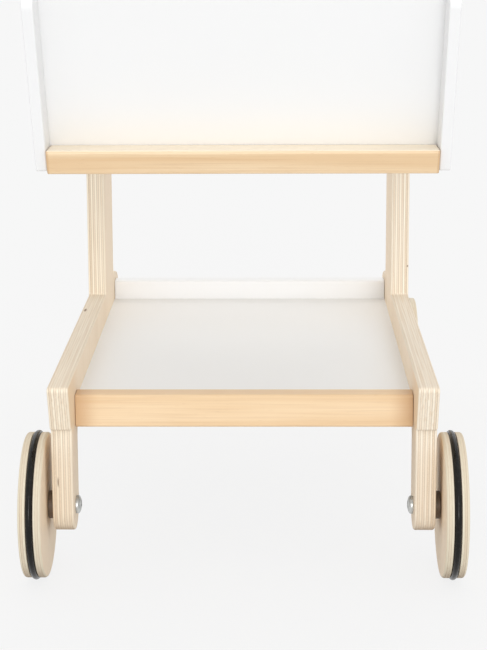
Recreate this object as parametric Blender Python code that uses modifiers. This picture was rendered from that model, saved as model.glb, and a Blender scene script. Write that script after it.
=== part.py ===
"""Toy shopping cart of birch plywood: two side frames, a lower tray, an upper basket, a push handle
and four wheels with rubber rings.

Units are metres, +Z is up, the front of the cart faces -Y. The origin is on the ground, midway between
the four wheels. Left and right are as seen from the front.
"""

import math

import bmesh
import bpy
from mathutils import Matrix, Vector

MM = 0.001

# Fits
SEAT_GAP = 0.3 * MM
RUNNING_GAP = 0.4 * MM

# Wheels and axles
WHEELBASE = 432.0 * MM
WHEEL_RADIUS = 53.3 * MM
WHEEL_THICKNESS = 16.0 * MM
WHEEL_EDGE_ROUND = 1.6 * MM
TYRE_CORD = 4.8 * MM
TYRE_PROUD = 1.5 * MM
SLEEVE_RADIUS = 5.0 * MM
SLEEVE_HEAD_RADIUS = 11.0 * MM
SLEEVE_HEAD_HEIGHT = 3.2 * MM
SLEEVE_END_WALL = 2.5 * MM
SPACER_RADIUS = 10.0 * MM
SPACER_LENGTH = 4.0 * MM
BOLT_RADIUS = 3.0 * MM
BOLT_HEAD_RADIUS = 6.5 * MM
BOLT_HEAD_HEIGHT = 3.8 * MM
BOLT_GRIP_IN_SLEEVE = 12.0 * MM
HEAD_EDGE_SHARE = 0.35
RECESS_SPAN = 6.4 * MM
RECESS_WIDTH = 1.5 * MM
RECESS_DEPTH = 2.0 * MM

# Side frames, cut from one plywood sheet each
PLY = 15.0 * MM
FRAME_OUTER_WIDTH = 272.0 * MM
FRAME_EDGE_ROUND = 1.2 * MM
ARM_TOP = 150.0 * MM
ARM_HEIGHT = 40.0 * MM
ARM_TIP_HEIGHT = 34.5 * MM
ARM_TIP_LEAN = math.radians(25.0)
ARM_TIP_ROUND = 3.0 * MM
ARM_TIP_FOOT_ROUND = 2.0 * MM
LEG_WIDTH = 36.0 * MM
LEG_SETBACK = 5.0 * MM
LEG_FRONT_ROUND = 2.0 * MM
LEG_INNER_ROUND = 12.0 * MM
REAR_SHOULDER_REACH = 38.0 * MM
REAR_SHOULDER_ROUND = 34.0 * MM
UPRIGHT_SETBACK = 294.0 * MM
UPRIGHT_WIDTH = 70.0 * MM
UPRIGHT_INNER_ROUND = 2.0 * MM
UPRIGHT_REAR_ROUND = 14.0 * MM

# Push handle
HANDLE_HEIGHT = 465.0 * MM
HANDLE_RADIUS = 12.5 * MM
HANDLE_SOCKET_DEPTH = 5.0 * MM
HANDLE_ABOVE_BASKET = 38.0 * MM
HANDLE_EDGE_ROUND = 1.0 * MM

# Lower tray
TRAY_FLOOR_TOP = 128.3 * MM
TRAY_FLOOR_THICKNESS = 5.0 * MM
TRAY_GROOVE = 5.0 * MM
TRAY_FRONT_RAIL_SETBACK = 42.0 * MM
TRAY_FRONT_RAIL_THICKNESS = 16.0 * MM
TRAY_FRONT_RAIL_BOTTOM = 110.0 * MM
TRAY_FRONT_RAIL_TOP = 134.0 * MM
TRAY_REAR_RAIL_GAP = 9.0 * MM
TRAY_REAR_RAIL_THICKNESS = 15.0 * MM
TRAY_REAR_RAIL_BOTTOM = 117.0 * MM
TRAY_REAR_RAIL_TOP = 144.7 * MM
RAIL_EDGE_ROUND = 1.6 * MM
RAIL_END_ROUND = 0.8 * MM

# Upper basket
BASKET_BOTTOM = 294.0 * MM
BASKET_LEAN = math.radians(25.0)
BASKET_WALL = 8.0 * MM
BASKET_WALL_FOOT_SETBACK = 41.5 * MM
BASKET_WALL_LIFT = 1.5 * MM
BASKET_WALL_REAR_LAP = 55.0 * MM
BASKET_WALL_CORNER_ROUND = 12.0 * MM
BASKET_WALL_EDGE_ROUND = 1.0 * MM
BASKET_GROOVE = 3.0 * MM
BASKET_RAIL_PROUD = 3.5 * MM
BASKET_RAIL_HEIGHT = 17.4 * MM
BASKET_RAIL_DEPTH = 30.0 * MM
BASKET_RAIL_ROUND = 2.0 * MM
BASKET_PANEL = 7.0 * MM
BASKET_PANEL_DROP = 5.0 * MM
BASKET_FLOOR_THICKNESS = 6.0 * MM

# Wood screws
SCREW_RADIUS = 2.0 * MM
SCREW_LENGTH = 38.0 * MM
WALL_SCREW_LENGTH = 15.0 * MM
SCREW_TIP_LENGTH = 6.0 * MM
SCREW_HEAD_RADIUS = 4.2 * MM
SCREW_HEAD_HEIGHT = 2.4 * MM
WALL_SCREW_INSET = 26.0 * MM
WALL_SCREW_SINK = 3.0 * MM

# Smoothness of round forms
WHEEL_SEGMENTS = 36
TYRE_CORD_SEGMENTS = 8
GROOVE_STEPS = 6
SMALL_SEGMENTS = 14
SCREW_SEGMENTS = 8
HANDLE_SEGMENTS = 24
ROUND_STEPS = 2
HEAD_STEPS = 3
ARC_STEP = math.radians(18.0)
SMOOTH_ANGLE = math.radians(35.0)
FLAT_ANGLE = math.radians(0.5)
MERGE = 0.01 * MM

# Places worked out from the sizes above
FRONT_AXLE_Y = -WHEELBASE / 2
REAR_AXLE_Y = WHEELBASE / 2
ARM_TIP_FOOT_Y = FRONT_AXLE_Y - LEG_WIDTH / 2 - LEG_SETBACK
ARM_TIP_Y = ARM_TIP_FOOT_Y - ARM_TIP_HEIGHT * math.tan(ARM_TIP_LEAN)
ARM_TIP_FOOT = ARM_TOP - ARM_TIP_HEIGHT
ARM_BOTTOM = ARM_TOP - ARM_HEIGHT
FRAME_OUTER_X = FRAME_OUTER_WIDTH / 2
FRAME_INNER_X = FRAME_OUTER_X - PLY
UPRIGHT_FRONT_Y = ARM_TIP_Y + UPRIGHT_SETBACK
UPRIGHT_REAR_Y = UPRIGHT_FRONT_Y + UPRIGHT_WIDTH
HANDLE_Y = (UPRIGHT_FRONT_Y + UPRIGHT_REAR_Y) / 2
TRAY_FRONT_Y = ARM_TIP_Y + TRAY_FRONT_RAIL_SETBACK
TRAY_FLOOR_FRONT_Y = TRAY_FRONT_Y + TRAY_FRONT_RAIL_THICKNESS - TRAY_GROOVE
TRAY_REAR_Y = UPRIGHT_REAR_Y + TRAY_REAR_RAIL_GAP
TRAY_FLOOR_REAR_Y = TRAY_REAR_Y + TRAY_GROOVE
TYRE_RADIUS = WHEEL_RADIUS - TYRE_CORD / 2
WHEEL_INNER_X = FRAME_OUTER_X + SPACER_LENGTH + 2 * SEAT_GAP
WHEEL_CENTRE_X = WHEEL_INNER_X + WHEEL_THICKNESS / 2
WHEEL_OUTER_X = WHEEL_INNER_X + WHEEL_THICKNESS
SLEEVE_HEAD_X = WHEEL_OUTER_X + RUNNING_GAP
BASKET_WALL_X = FRAME_OUTER_X + SEAT_GAP
WALL_SCREW_SEAT_X = BASKET_WALL_X + BASKET_WALL - WALL_SCREW_SINK
BASKET_TOP = HANDLE_HEIGHT - HANDLE_ABOVE_BASKET
BASKET_FOOT_Y = ARM_TIP_Y + BASKET_WALL_FOOT_SETBACK
BASKET_WALL_REAR_Y = UPRIGHT_FRONT_Y + BASKET_WALL_REAR_LAP
BASKET_RAIL_TOP = BASKET_BOTTOM + BASKET_RAIL_HEIGHT
BASKET_REAR_PANEL_Y = UPRIGHT_FRONT_Y - SEAT_GAP - BASKET_PANEL
SIDES = {"left": -1, "right": 1}
AXLES = {"front": FRONT_AXLE_Y, "rear": REAR_AXLE_Y}


def clear_scene():
    """Empty the scene before modelling."""
    for item in list(bpy.data.objects):
        bpy.data.objects.remove(item, do_unlink=True)


def new_collection(name):
    """A collection linked to the scene."""
    collection = bpy.data.collections.new(name)
    bpy.context.scene.collection.children.link(collection)
    return collection


def finish_material(name, colour, roughness, metallic=0.0):
    """A plain Principled material."""
    material = bpy.data.materials.new(name)
    material.use_nodes = True
    shader = material.node_tree.nodes["Principled BSDF"]
    shader.inputs["Base Color"].default_value = (*colour, 1.0)
    shader.inputs["Roughness"].default_value = roughness
    shader.inputs["Metallic"].default_value = metallic
    return material


clear_scene()
CART = new_collection("toy_shopping_cart")
CUTTERS = new_collection("cutters")
BIRCH_PLY = finish_material("birch_ply", (0.80, 0.68, 0.51), 0.55)
NATURAL_WOOD = finish_material("natural_wood", (0.84, 0.62, 0.38), 0.5)
WHITE_PAINT = finish_material("white_paint", (0.86, 0.86, 0.85), 0.4)
BLACK_RUBBER = finish_material("black_rubber", (0.02, 0.02, 0.018), 0.35)
ZINC = finish_material("zinc", (0.62, 0.62, 0.6), 0.3, 1.0)
NYLON = finish_material("nylon", (0.03, 0.03, 0.028), 0.5)


def add_piece(name, mesh, material, collection=CART):
    """A named object in a collection, with its material."""
    piece = bpy.data.objects.new(name, mesh)
    collection.objects.link(piece)
    mesh.materials.clear()
    mesh.materials.append(material)
    return piece


def shade_round(piece):
    """Smooth shading with crisp edges."""
    piece.data.shade_smooth()
    piece.data.set_sharp_from_angle(angle=SMOOTH_ANGLE)


def cut_away(piece, cutter):
    """Remove the shape of a cutter from a piece."""
    boolean = piece.modifiers.new("cut_" + cutter.name, "BOOLEAN")
    boolean.operation = "DIFFERENCE"
    boolean.solver = "EXACT"
    boolean.object = cutter
    return piece


def as_cutter(item):
    """Mark an object as a cutting tool."""
    item.hide_render = True
    item.display_type = "WIRE"
    return item


def arc_points(centre, radius, start, end):
    """Points along an arc from one angle to another, both ends included."""
    steps = max(2, math.ceil(abs(end - start) / ARC_STEP))
    angles = [start + (end - start) * step / steps for step in range(steps + 1)]
    return [centre + radius * Vector((math.cos(a), math.sin(a))) for a in angles]


def rounded_outline(corners):
    """An outline through corners given as (y, z, radius), each rounded by its radius."""
    outline = []
    count = len(corners)
    for index, (y, z, radius) in enumerate(corners):
        corner = Vector((y, z))
        if radius == 0:
            outline.append(corner)
            continue
        towards_last = (Vector(corners[index - 1][:2]) - corner).normalized()
        towards_next = (Vector(corners[(index + 1) % count][:2]) - corner).normalized()
        half = towards_last.angle(towards_next) / 2
        centre = corner + (towards_last + towards_next).normalized() * radius / math.sin(half)
        first = corner + towards_last * radius / math.tan(half) - centre
        last = corner + towards_next * radius / math.tan(half) - centre
        start = math.atan2(first.y, first.x)
        turn = (math.atan2(last.y, last.x) - start + math.pi) % (2 * math.pi) - math.pi
        outline.extend(arc_points(centre, radius, start, start + turn))
    return outline


def slab(name, outline, x_low, x_high, material, rim_round=0.0, collection=CART):
    """A flat outline in the YZ plane, thick along X from x_low to x_high, with rounded rims."""
    curve = bpy.data.curves.new(name + "_outline", "CURVE")
    curve.dimensions = "2D"
    curve.fill_mode = "BOTH"
    curve.extrude = (x_high - x_low) / 2 - rim_round
    curve.bevel_depth = rim_round
    curve.bevel_resolution = 0
    curve.offset = -rim_round
    spline = curve.splines.new("POLY")
    spline.points.add(len(outline) - 1)
    for point, place in zip(spline.points, outline):
        point.co = (place.x, place.y, 0.0, 1.0)
    spline.use_cyclic_u = True
    drawing = bpy.data.objects.new(name + "_drawing", curve)
    CUTTERS.objects.link(drawing)
    axes = Matrix(((0, 0, 1, (x_low + x_high) / 2), (1, 0, 0, 0), (0, 1, 0, 0), (0, 0, 0, 1)))
    drawing.matrix_world = axes
    evaluated = drawing.evaluated_get(bpy.context.evaluated_depsgraph_get())
    mesh = bpy.data.meshes.new_from_object(evaluated)
    bpy.data.objects.remove(drawing, do_unlink=True)
    welded = bmesh.new()
    welded.from_mesh(mesh)
    bmesh.ops.remove_doubles(welded, verts=welded.verts, dist=MERGE)
    bmesh.ops.dissolve_limit(welded, angle_limit=FLAT_ANGLE, verts=welded.verts, edges=welded.edges)
    bmesh.ops.recalc_face_normals(welded, faces=welded.faces)
    welded.to_mesh(mesh)
    welded.free()
    mesh.name = name
    piece = add_piece(name, mesh, material, collection)
    piece.matrix_world = axes
    shade_round(piece)
    return piece


def rectangle(y_low, y_high, z_low, z_high, radius=0.0):
    """Corners of a rectangle in the YZ plane, each with the same rounding."""
    places = [(y_low, z_low), (y_high, z_low), (y_high, z_high), (y_low, z_high)]
    return [(y, z, radius) for y, z in places]


def box_cutter(name, y_low, y_high, z_low, z_high, x_low, x_high):
    """A square cutting tool."""
    outline = rounded_outline(rectangle(y_low, y_high, z_low, z_high))
    return as_cutter(slab(name, outline, x_low, x_high, BIRCH_PLY, collection=CUTTERS))


def across(x, y, z, side=1):
    """Place of a turned piece whose own +Z points outwards along X on a side."""
    return Matrix.Translation((x, y, z)) @ Matrix.Rotation(side * math.pi / 2, 4, "Y")


def turned(name, profile, place, material, segments=SMALL_SEGMENTS, ring=False, collection=CART):
    """A turned shape from a profile of (radius, height) points that runs down its outer side."""
    mesh = bpy.data.meshes.new(name)
    points = [(radius, 0.0, height) for radius, height in profile]
    edges = [(index, index + 1) for index in range(len(points) - 1)]
    if ring:
        edges.append((len(points) - 1, 0))
    mesh.from_pydata(points, edges, [])
    piece = add_piece(name, mesh, material, collection)
    screw = piece.modifiers.new("turned", "SCREW")
    screw.axis = "Z"
    screw.steps = segments
    screw.render_steps = segments
    screw.use_merge_vertices = True
    screw.merge_threshold = MERGE
    screw.use_smooth_shade = True
    piece.matrix_world = place
    return piece


def flats_at(radius):
    """Corner radius of a round cutting tool whose flats lie at a radius."""
    return radius / math.cos(math.pi / SMALL_SEGMENTS)


def drill(name, radius, x_low, x_high, y, z):
    """A round cutting tool along X."""
    corner = flats_at(radius)
    profile = [(0.0, x_high - x_low), (corner, x_high - x_low), (corner, 0.0), (0.0, 0.0)]
    return as_cutter(turned(name, profile, across(x_low, y, z), BIRCH_PLY, collection=CUTTERS))


def mirrored_span(side, near, far):
    """Low and high X of something that reaches from near to far on one side."""
    return sorted((side * near, side * far))


def drill_side(piece, label, radius, near, far, y, z, side):
    """Drill a piece from near to far along X on one side."""
    low, high = mirrored_span(side, near, far)
    return cut_away(piece, drill(f"{piece.name}_{label}", radius, low, high, y, z))


def side_frame_outline():
    """Arm with a leaning tip, front leg, raked rear leg and tall upright, as one cut shape."""
    half_leg = LEG_WIDTH / 2
    front_axle = Vector((FRONT_AXLE_Y, WHEEL_RADIUS))
    rear_axle = Vector((REAR_AXLE_Y, WHEEL_RADIUS))
    shoulder = Vector((UPRIGHT_REAR_Y + REAR_SHOULDER_REACH, ARM_TOP))
    slant = shoulder - rear_axle
    outward_angle = math.atan2(slant.y, slant.x) - math.acos(half_leg / slant.length)
    outward = Vector((math.cos(outward_angle), math.sin(outward_angle)))
    rake = Vector((-outward.y, outward.x))
    front_edge = rear_axle - outward * half_leg
    armpit = front_edge + rake * ((ARM_BOTTOM - front_edge.y) / rake.y)
    head = Vector((HANDLE_Y, HANDLE_HEIGHT))
    front_boss = arc_points(front_axle, half_leg, math.pi, 2 * math.pi)
    rear_boss = arc_points(rear_axle, half_leg, outward_angle - math.pi, outward_angle)
    crown = arc_points(head, UPRIGHT_WIDTH / 2, 0.0, math.pi)
    corners = [(ARM_TIP_FOOT_Y, ARM_TIP_FOOT, ARM_TIP_FOOT_ROUND)]
    corners += [(FRONT_AXLE_Y - half_leg, ARM_TIP_FOOT, LEG_FRONT_ROUND)]
    corners += [(*point, 0.0) for point in front_boss]
    corners += [(FRONT_AXLE_Y + half_leg, ARM_BOTTOM, LEG_INNER_ROUND), (*armpit, LEG_INNER_ROUND)]
    corners += [(*point, 0.0) for point in rear_boss]
    corners += [(*shoulder, REAR_SHOULDER_ROUND), (UPRIGHT_REAR_Y, ARM_TOP, UPRIGHT_REAR_ROUND)]
    corners += [(*point, 0.0) for point in crown]
    corners += [(UPRIGHT_FRONT_Y, ARM_TOP, UPRIGHT_INNER_ROUND), (ARM_TIP_Y, ARM_TOP, ARM_TIP_ROUND)]
    return rounded_outline(corners)


def screw_places():
    """Name, head X, Y, Z and length of each wood screw on one side."""
    front_rail_y = TRAY_FRONT_Y + TRAY_FRONT_RAIL_THICKNESS / 2
    front_rail_z = (TRAY_FRONT_RAIL_BOTTOM + TRAY_FLOOR_TOP - TRAY_FLOOR_THICKNESS) / 2
    rear_rail_y = TRAY_REAR_Y + TRAY_REAR_RAIL_THICKNESS / 2
    rear_rail_z = (TRAY_FLOOR_TOP + TRAY_REAR_RAIL_TOP) / 2
    wall_screw_y = (UPRIGHT_FRONT_Y + BASKET_WALL_REAR_Y) / 2
    rail_y, rail_z = basket_rail_centre()
    wall_head_x = WALL_SCREW_SEAT_X + SEAT_GAP
    frame_head_x = FRAME_OUTER_X + SEAT_GAP
    return {
        "tray_front": (frame_head_x, front_rail_y, front_rail_z, SCREW_LENGTH),
        "tray_rear": (frame_head_x, rear_rail_y, rear_rail_z, SCREW_LENGTH),
        "handle": (frame_head_x, HANDLE_Y, HANDLE_HEIGHT, SCREW_LENGTH),
        "basket_rail": (wall_head_x, rail_y, rail_z, SCREW_LENGTH),
        "wall_low": (wall_head_x, wall_screw_y, BASKET_BOTTOM + WALL_SCREW_INSET, WALL_SCREW_LENGTH),
        "wall_high": (wall_head_x, wall_screw_y, BASKET_TOP - WALL_SCREW_INSET, WALL_SCREW_LENGTH),
    }


def slope_y(y_at_foot, z):
    """Y of a sloping front line at a height, for the line through y_at_foot at the basket bottom."""
    return y_at_foot - (z - BASKET_BOTTOM) * math.tan(BASKET_LEAN)


def basket_rail_foot_y():
    """Y of the lower front edge of the basket's front rail."""
    return BASKET_FOOT_Y - BASKET_RAIL_PROUD


def basket_rail_centre():
    """Middle of the front rail's section."""
    middle_z = BASKET_BOTTOM + BASKET_RAIL_HEIGHT / 2
    return slope_y(basket_rail_foot_y(), middle_z) + BASKET_RAIL_DEPTH / 2, middle_z


def screw_hole_radius():
    """Radius of the holes round the wood screws."""
    return SCREW_RADIUS + SEAT_GAP


def stepped_drill(name, inner_radius, outer_radius, step, far, y, z, side):
    """A cutting tool along X with one radius from the middle of the cart to a step and another past it."""
    inner = flats_at(inner_radius)
    outer = flats_at(outer_radius)
    profile = [(0.0, far), (outer, far), (outer, step), (inner, step), (inner, 0.0), (0.0, 0.0)]
    return as_cutter(turned(name, profile, across(0.0, y, z, side), BIRCH_PLY, collection=CUTTERS))


def handle_drill(name, past, side):
    """The drill for an upright: the handle's socket, then the hole for its screw."""
    radii = (HANDLE_RADIUS + SEAT_GAP, screw_hole_radius())
    floor = FRAME_INNER_X + HANDLE_SOCKET_DEPTH
    return stepped_drill(name, *radii, floor, past, HANDLE_Y, HANDLE_HEIGHT, side)


def build_side_frame(side_name, side):
    """One plywood side frame with its holes, handle socket and floor groove."""
    low, high = mirrored_span(side, FRAME_INNER_X, FRAME_OUTER_X)
    frame = slab(f"side_frame_{side_name}", side_frame_outline(), low, high, BIRCH_PLY, FRAME_EDGE_ROUND)
    past = FRAME_OUTER_X + PLY
    for axle_name, axle_y in AXLES.items():
        hole = BOLT_RADIUS + SEAT_GAP
        drill_side(frame, f"{axle_name}_axle_hole", hole, 0.0, past, axle_y, WHEEL_RADIUS, side)
    cut_away(frame, handle_drill(frame.name + "_handle_drill", past, side))
    for label, (_, y, z, _) in screw_places().items():
        if label in ("basket_rail", "handle"):
            continue
        deep = FRAME_INNER_X + PLY / 4 if label.startswith("wall") else 0.0
        drill_side(frame, f"{label}_hole", screw_hole_radius(), deep, past, y, z, side)
    groove_low, groove_high = mirrored_span(side, 0.0, FRAME_INNER_X + TRAY_GROOVE)
    groove = box_cutter(
        frame.name + "_floor_groove",
        TRAY_FLOOR_FRONT_Y - SEAT_GAP,
        TRAY_FLOOR_REAR_Y + SEAT_GAP,
        TRAY_FLOOR_TOP - TRAY_FLOOR_THICKNESS - SEAT_GAP,
        TRAY_FLOOR_TOP + SEAT_GAP,
        groove_low,
        groove_high,
    )
    cut_away(frame, groove)


def drill_both_ends(piece, label, half_length):
    """Pilot holes for a wood screw in both ends of a cross piece."""
    head_x, y, z, length = screw_places()[label]
    bottom = head_x - length - SEAT_GAP
    for side_name, side in SIDES.items():
        hole_name = f"pilot_{side_name}"
        drill_side(piece, hole_name, screw_hole_radius(), bottom, half_length + PLY, y, z, side)


def build_tray():
    """Floor board held in grooves, natural front rail and white rear rail."""
    rail_half = FRAME_INNER_X - SEAT_GAP
    floor_low = TRAY_FLOOR_TOP - TRAY_FLOOR_THICKNESS
    floor_half = FRAME_INNER_X + TRAY_GROOVE - SEAT_GAP
    floor = rectangle(TRAY_FLOOR_FRONT_Y, TRAY_FLOOR_REAR_Y, floor_low, TRAY_FLOOR_TOP)
    slab("tray_floor", rounded_outline(floor), -floor_half, floor_half, WHITE_PAINT)
    front_end = TRAY_FRONT_Y + TRAY_FRONT_RAIL_THICKNESS
    front = rectangle(TRAY_FRONT_Y, front_end, TRAY_FRONT_RAIL_BOTTOM, TRAY_FRONT_RAIL_TOP, RAIL_EDGE_ROUND)
    rear_end = TRAY_REAR_Y + TRAY_REAR_RAIL_THICKNESS
    rear = rectangle(TRAY_REAR_Y, rear_end, TRAY_REAR_RAIL_BOTTOM, TRAY_REAR_RAIL_TOP, RAIL_EDGE_ROUND)
    span = (-rail_half, rail_half)
    front_rail = slab("tray_front_rail", rounded_outline(front), *span, NATURAL_WOOD, RAIL_END_ROUND)
    rear_rail = slab("tray_rear_rail", rounded_outline(rear), *span, WHITE_PAINT, RAIL_END_ROUND)
    for rail, label, groove_y in (
        (front_rail, "tray_front", (TRAY_FLOOR_FRONT_Y - SEAT_GAP, front_end + TRAY_GROOVE)),
        (rear_rail, "tray_rear", (TRAY_REAR_Y - TRAY_GROOVE, TRAY_FLOOR_REAR_Y + SEAT_GAP)),
    ):
        groove_z = (floor_low - SEAT_GAP, TRAY_FLOOR_TOP + SEAT_GAP)
        groove_x = (-FRAME_OUTER_X, FRAME_OUTER_X)
        cut_away(rail, box_cutter(rail.name + "_groove", *groove_y, *groove_z, *groove_x))
        drill_both_ends(rail, label, rail_half)


def sloping_outline(foot_y, depth, z_low, z_high, radius):
    """A section with upright-leaning front and rear faces, flat at top and bottom."""
    low = slope_y(foot_y, z_low)
    high = slope_y(foot_y, z_high)
    corners = [(low, z_low), (low + depth, z_low), (high + depth, z_high), (high, z_high)]
    return rounded_outline([(y, z, radius) for y, z in corners])


def front_panel_foot_y():
    """Y of the front panel's front face at the height of the basket bottom."""
    return basket_rail_foot_y() + BASKET_RAIL_DEPTH + SEAT_GAP / math.cos(BASKET_LEAN)


def basket_groove_outline():
    """One groove that takes the ends of the front panel, the floor and the rear panel."""
    slack = SEAT_GAP / math.cos(BASKET_LEAN)
    front = front_panel_foot_y() - slack
    depth = BASKET_PANEL / math.cos(BASKET_LEAN) + 2 * slack
    rear = BASKET_REAR_PANEL_Y + BASKET_PANEL + SEAT_GAP
    inner_rear = BASKET_REAR_PANEL_Y - SEAT_GAP
    below = BASKET_BOTTOM - BASKET_WALL
    floor = BASKET_BOTTOM + BASKET_FLOOR_THICKNESS + SEAT_GAP
    top = BASKET_TOP - BASKET_PANEL_DROP + SEAT_GAP
    corners = [(front, below), (rear, below), (rear, top), (inner_rear, top), (inner_rear, floor)]
    corners += [(slope_y(front, floor) + depth, floor), (slope_y(front, top) + depth, top)]
    corners += [(slope_y(front, top), top), (front, BASKET_BOTTOM)]
    return rounded_outline([(y, z, 0.0) for y, z in corners])


def build_basket_wall(side_name, side):
    """One thin white side wall with a groove for the floor and the two end panels."""
    low, high = mirrored_span(side, BASKET_WALL_X, BASKET_WALL_X + BASKET_WALL)
    foot = BASKET_BOTTOM + BASKET_WALL_LIFT
    corners = [
        (slope_y(BASKET_FOOT_Y, foot), foot, BASKET_WALL_CORNER_ROUND / 4),
        (BASKET_WALL_REAR_Y, foot, BASKET_WALL_CORNER_ROUND),
        (BASKET_WALL_REAR_Y, BASKET_TOP, BASKET_WALL_CORNER_ROUND),
        (slope_y(BASKET_FOOT_Y, BASKET_TOP), BASKET_TOP, BASKET_WALL_CORNER_ROUND),
    ]
    wall_name = f"basket_side_{side_name}"
    wall = slab(wall_name, rounded_outline(corners), low, high, WHITE_PAINT, BASKET_WALL_EDGE_ROUND)
    groove_span = mirrored_span(side, 0.0, BASKET_WALL_X + BASKET_GROOVE)
    groove_name = wall.name + "_groove"
    groove = slab(groove_name, basket_groove_outline(), *groove_span, WHITE_PAINT, collection=CUTTERS)
    cut_away(wall, as_cutter(groove))
    radii = (screw_hole_radius(), SCREW_HEAD_RADIUS + 2 * SEAT_GAP)
    past = BASKET_WALL_X + 2 * BASKET_WALL
    for label in ("basket_rail", "wall_low", "wall_high"):
        _, y, z, _ = screw_places()[label]
        hole_name = f"{wall.name}_{label}_hole"
        cut_away(wall, stepped_drill(hole_name, *radii, WALL_SCREW_SEAT_X, past, y, z, side))


def basket_floor_front_y():
    """Y of the floor board's front edge, behind the sloping rear face of the front rail."""
    return basket_rail_foot_y() + BASKET_RAIL_DEPTH + SEAT_GAP


def build_basket():
    """Natural front rail, front and rear panels and floor board between the side walls."""
    inside_half = BASKET_WALL_X - SEAT_GAP
    grooved_half = BASKET_WALL_X + BASKET_GROOVE - SEAT_GAP
    rail_size = (BASKET_RAIL_DEPTH, BASKET_BOTTOM, BASKET_RAIL_TOP, BASKET_RAIL_ROUND)
    section = sloping_outline(basket_rail_foot_y(), *rail_size)
    rail = slab("basket_front_rail", section, -inside_half, inside_half, NATURAL_WOOD, RAIL_END_ROUND)
    drill_both_ends(rail, "basket_rail", inside_half)
    floor_top = BASKET_BOTTOM + BASKET_FLOOR_THICKNESS
    floor_rear = BASKET_REAR_PANEL_Y + BASKET_PANEL
    floor = rectangle(basket_floor_front_y(), floor_rear, BASKET_BOTTOM, floor_top)
    slab("basket_floor", rounded_outline(floor), -grooved_half, grooved_half, WHITE_PAINT)
    panel_low = floor_top + SEAT_GAP
    panel_top = BASKET_TOP - BASKET_PANEL_DROP
    depth = BASKET_PANEL / math.cos(BASKET_LEAN)
    front = sloping_outline(front_panel_foot_y(), depth, panel_low, panel_top, BASKET_WALL_EDGE_ROUND)
    slab("basket_front_panel", front, -grooved_half, grooved_half, WHITE_PAINT)
    rear_end = BASKET_REAR_PANEL_Y + BASKET_PANEL
    rear = rectangle(BASKET_REAR_PANEL_Y, rear_end, panel_low, panel_top, BASKET_WALL_EDGE_ROUND)
    slab("basket_rear_panel", rounded_outline(rear), -grooved_half, grooved_half, WHITE_PAINT)


def build_handle():
    """Round push bar seated in a socket of each upright, with a pilot hole in each end."""
    half = FRAME_INNER_X + HANDLE_SOCKET_DEPTH - SEAT_GAP
    head_x, _, _, length = screw_places()["handle"]
    pilot_end = head_x - length - SEAT_GAP
    end = [
        (0.0, pilot_end),
        (screw_hole_radius(), pilot_end),
        (screw_hole_radius(), half),
        (HANDLE_RADIUS - HANDLE_EDGE_ROUND, half),
        (HANDLE_RADIUS, half - HANDLE_EDGE_ROUND),
    ]
    profile = end + [(radius, -height) for radius, height in reversed(end)]
    place = across(0.0, HANDLE_Y, HANDLE_HEIGHT)
    turned("handle_bar", profile, place, NATURAL_WOOD, HANDLE_SEGMENTS)


def quarter_round(edge, rim, height):
    """Profile of a rounded rim, from the flat face at a height down to the side."""
    angles = [math.pi / 2 * (1 - step / ROUND_STEPS) for step in range(ROUND_STEPS + 1)]
    return [(rim - edge + edge * math.cos(a), height - edge + edge * math.sin(a)) for a in angles]


def wheel_profile():
    """Section of the wheel: bore, flat faces, rounded rims and the groove for the rubber ring."""
    half = WHEEL_THICKNESS / 2
    bore = SLEEVE_RADIUS + RUNNING_GAP
    rim = WHEEL_RADIUS - TYRE_PROUD
    groove = TYRE_CORD / 2 + SEAT_GAP
    reach = math.acos((rim - TYRE_RADIUS) / groove)
    sweep = 2 * (math.pi - reach)
    angles = [reach + sweep * step / GROOVE_STEPS for step in range(GROOVE_STEPS + 1)]
    groove_line = [(TYRE_RADIUS + groove * math.cos(a), groove * math.sin(a)) for a in angles]
    upper = quarter_round(WHEEL_EDGE_ROUND, rim, half)
    lower = [(radius, -height) for radius, height in reversed(upper)]
    return [(bore, half), *upper, *groove_line, *lower, (bore, -half)]


def dome(radius, height):
    """Profile of a low round head from its crown down to its edge, on a flat seat at height zero."""
    edge = height * HEAD_EDGE_SHARE
    angles = [math.pi / 2 * (1 - step / HEAD_STEPS) for step in range(HEAD_STEPS + 1)]
    crown = [(radius * math.cos(a), edge + (height - edge) * math.sin(a)) for a in angles]
    return [*crown, (radius, 0.0)]


def build_wheel(corner, axle_y, side):
    """A grooved wheel and the rubber ring in its groove."""
    centre = across(side * WHEEL_CENTRE_X, axle_y, WHEEL_RADIUS, side)
    turned(f"wheel_{corner}", wheel_profile(), centre, BIRCH_PLY, WHEEL_SEGMENTS, ring=True)
    bpy.ops.mesh.primitive_torus_add(
        major_segments=WHEEL_SEGMENTS,
        minor_segments=TYRE_CORD_SEGMENTS,
        major_radius=TYRE_RADIUS,
        minor_radius=TYRE_CORD / 2,
    )
    ring = bpy.context.object
    tyre = add_piece(f"tyre_{corner}", ring.data, BLACK_RUBBER)
    bpy.data.objects.remove(ring, do_unlink=True)
    tyre.data.shade_smooth()
    tyre.matrix_world = centre


def build_sleeve(corner, axle_y, side):
    """The sleeve nut that a wheel turns on: a blind barrel with a low round head."""
    bore = BOLT_RADIUS + SEAT_GAP
    barrel_end = FRAME_OUTER_X + SEAT_GAP - SLEEVE_HEAD_X
    bore_end = SLEEVE_HEAD_HEIGHT - SLEEVE_END_WALL
    head = dome(SLEEVE_HEAD_RADIUS, SLEEVE_HEAD_HEIGHT)
    barrel = [(SLEEVE_RADIUS, 0.0), (SLEEVE_RADIUS, barrel_end)]
    inside = [(bore, barrel_end), (bore, bore_end), (0.0, bore_end)]
    place = across(side * SLEEVE_HEAD_X, axle_y, WHEEL_RADIUS, side)
    turned(f"axle_sleeve_{corner}", head + barrel + inside, place, ZINC)


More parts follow.
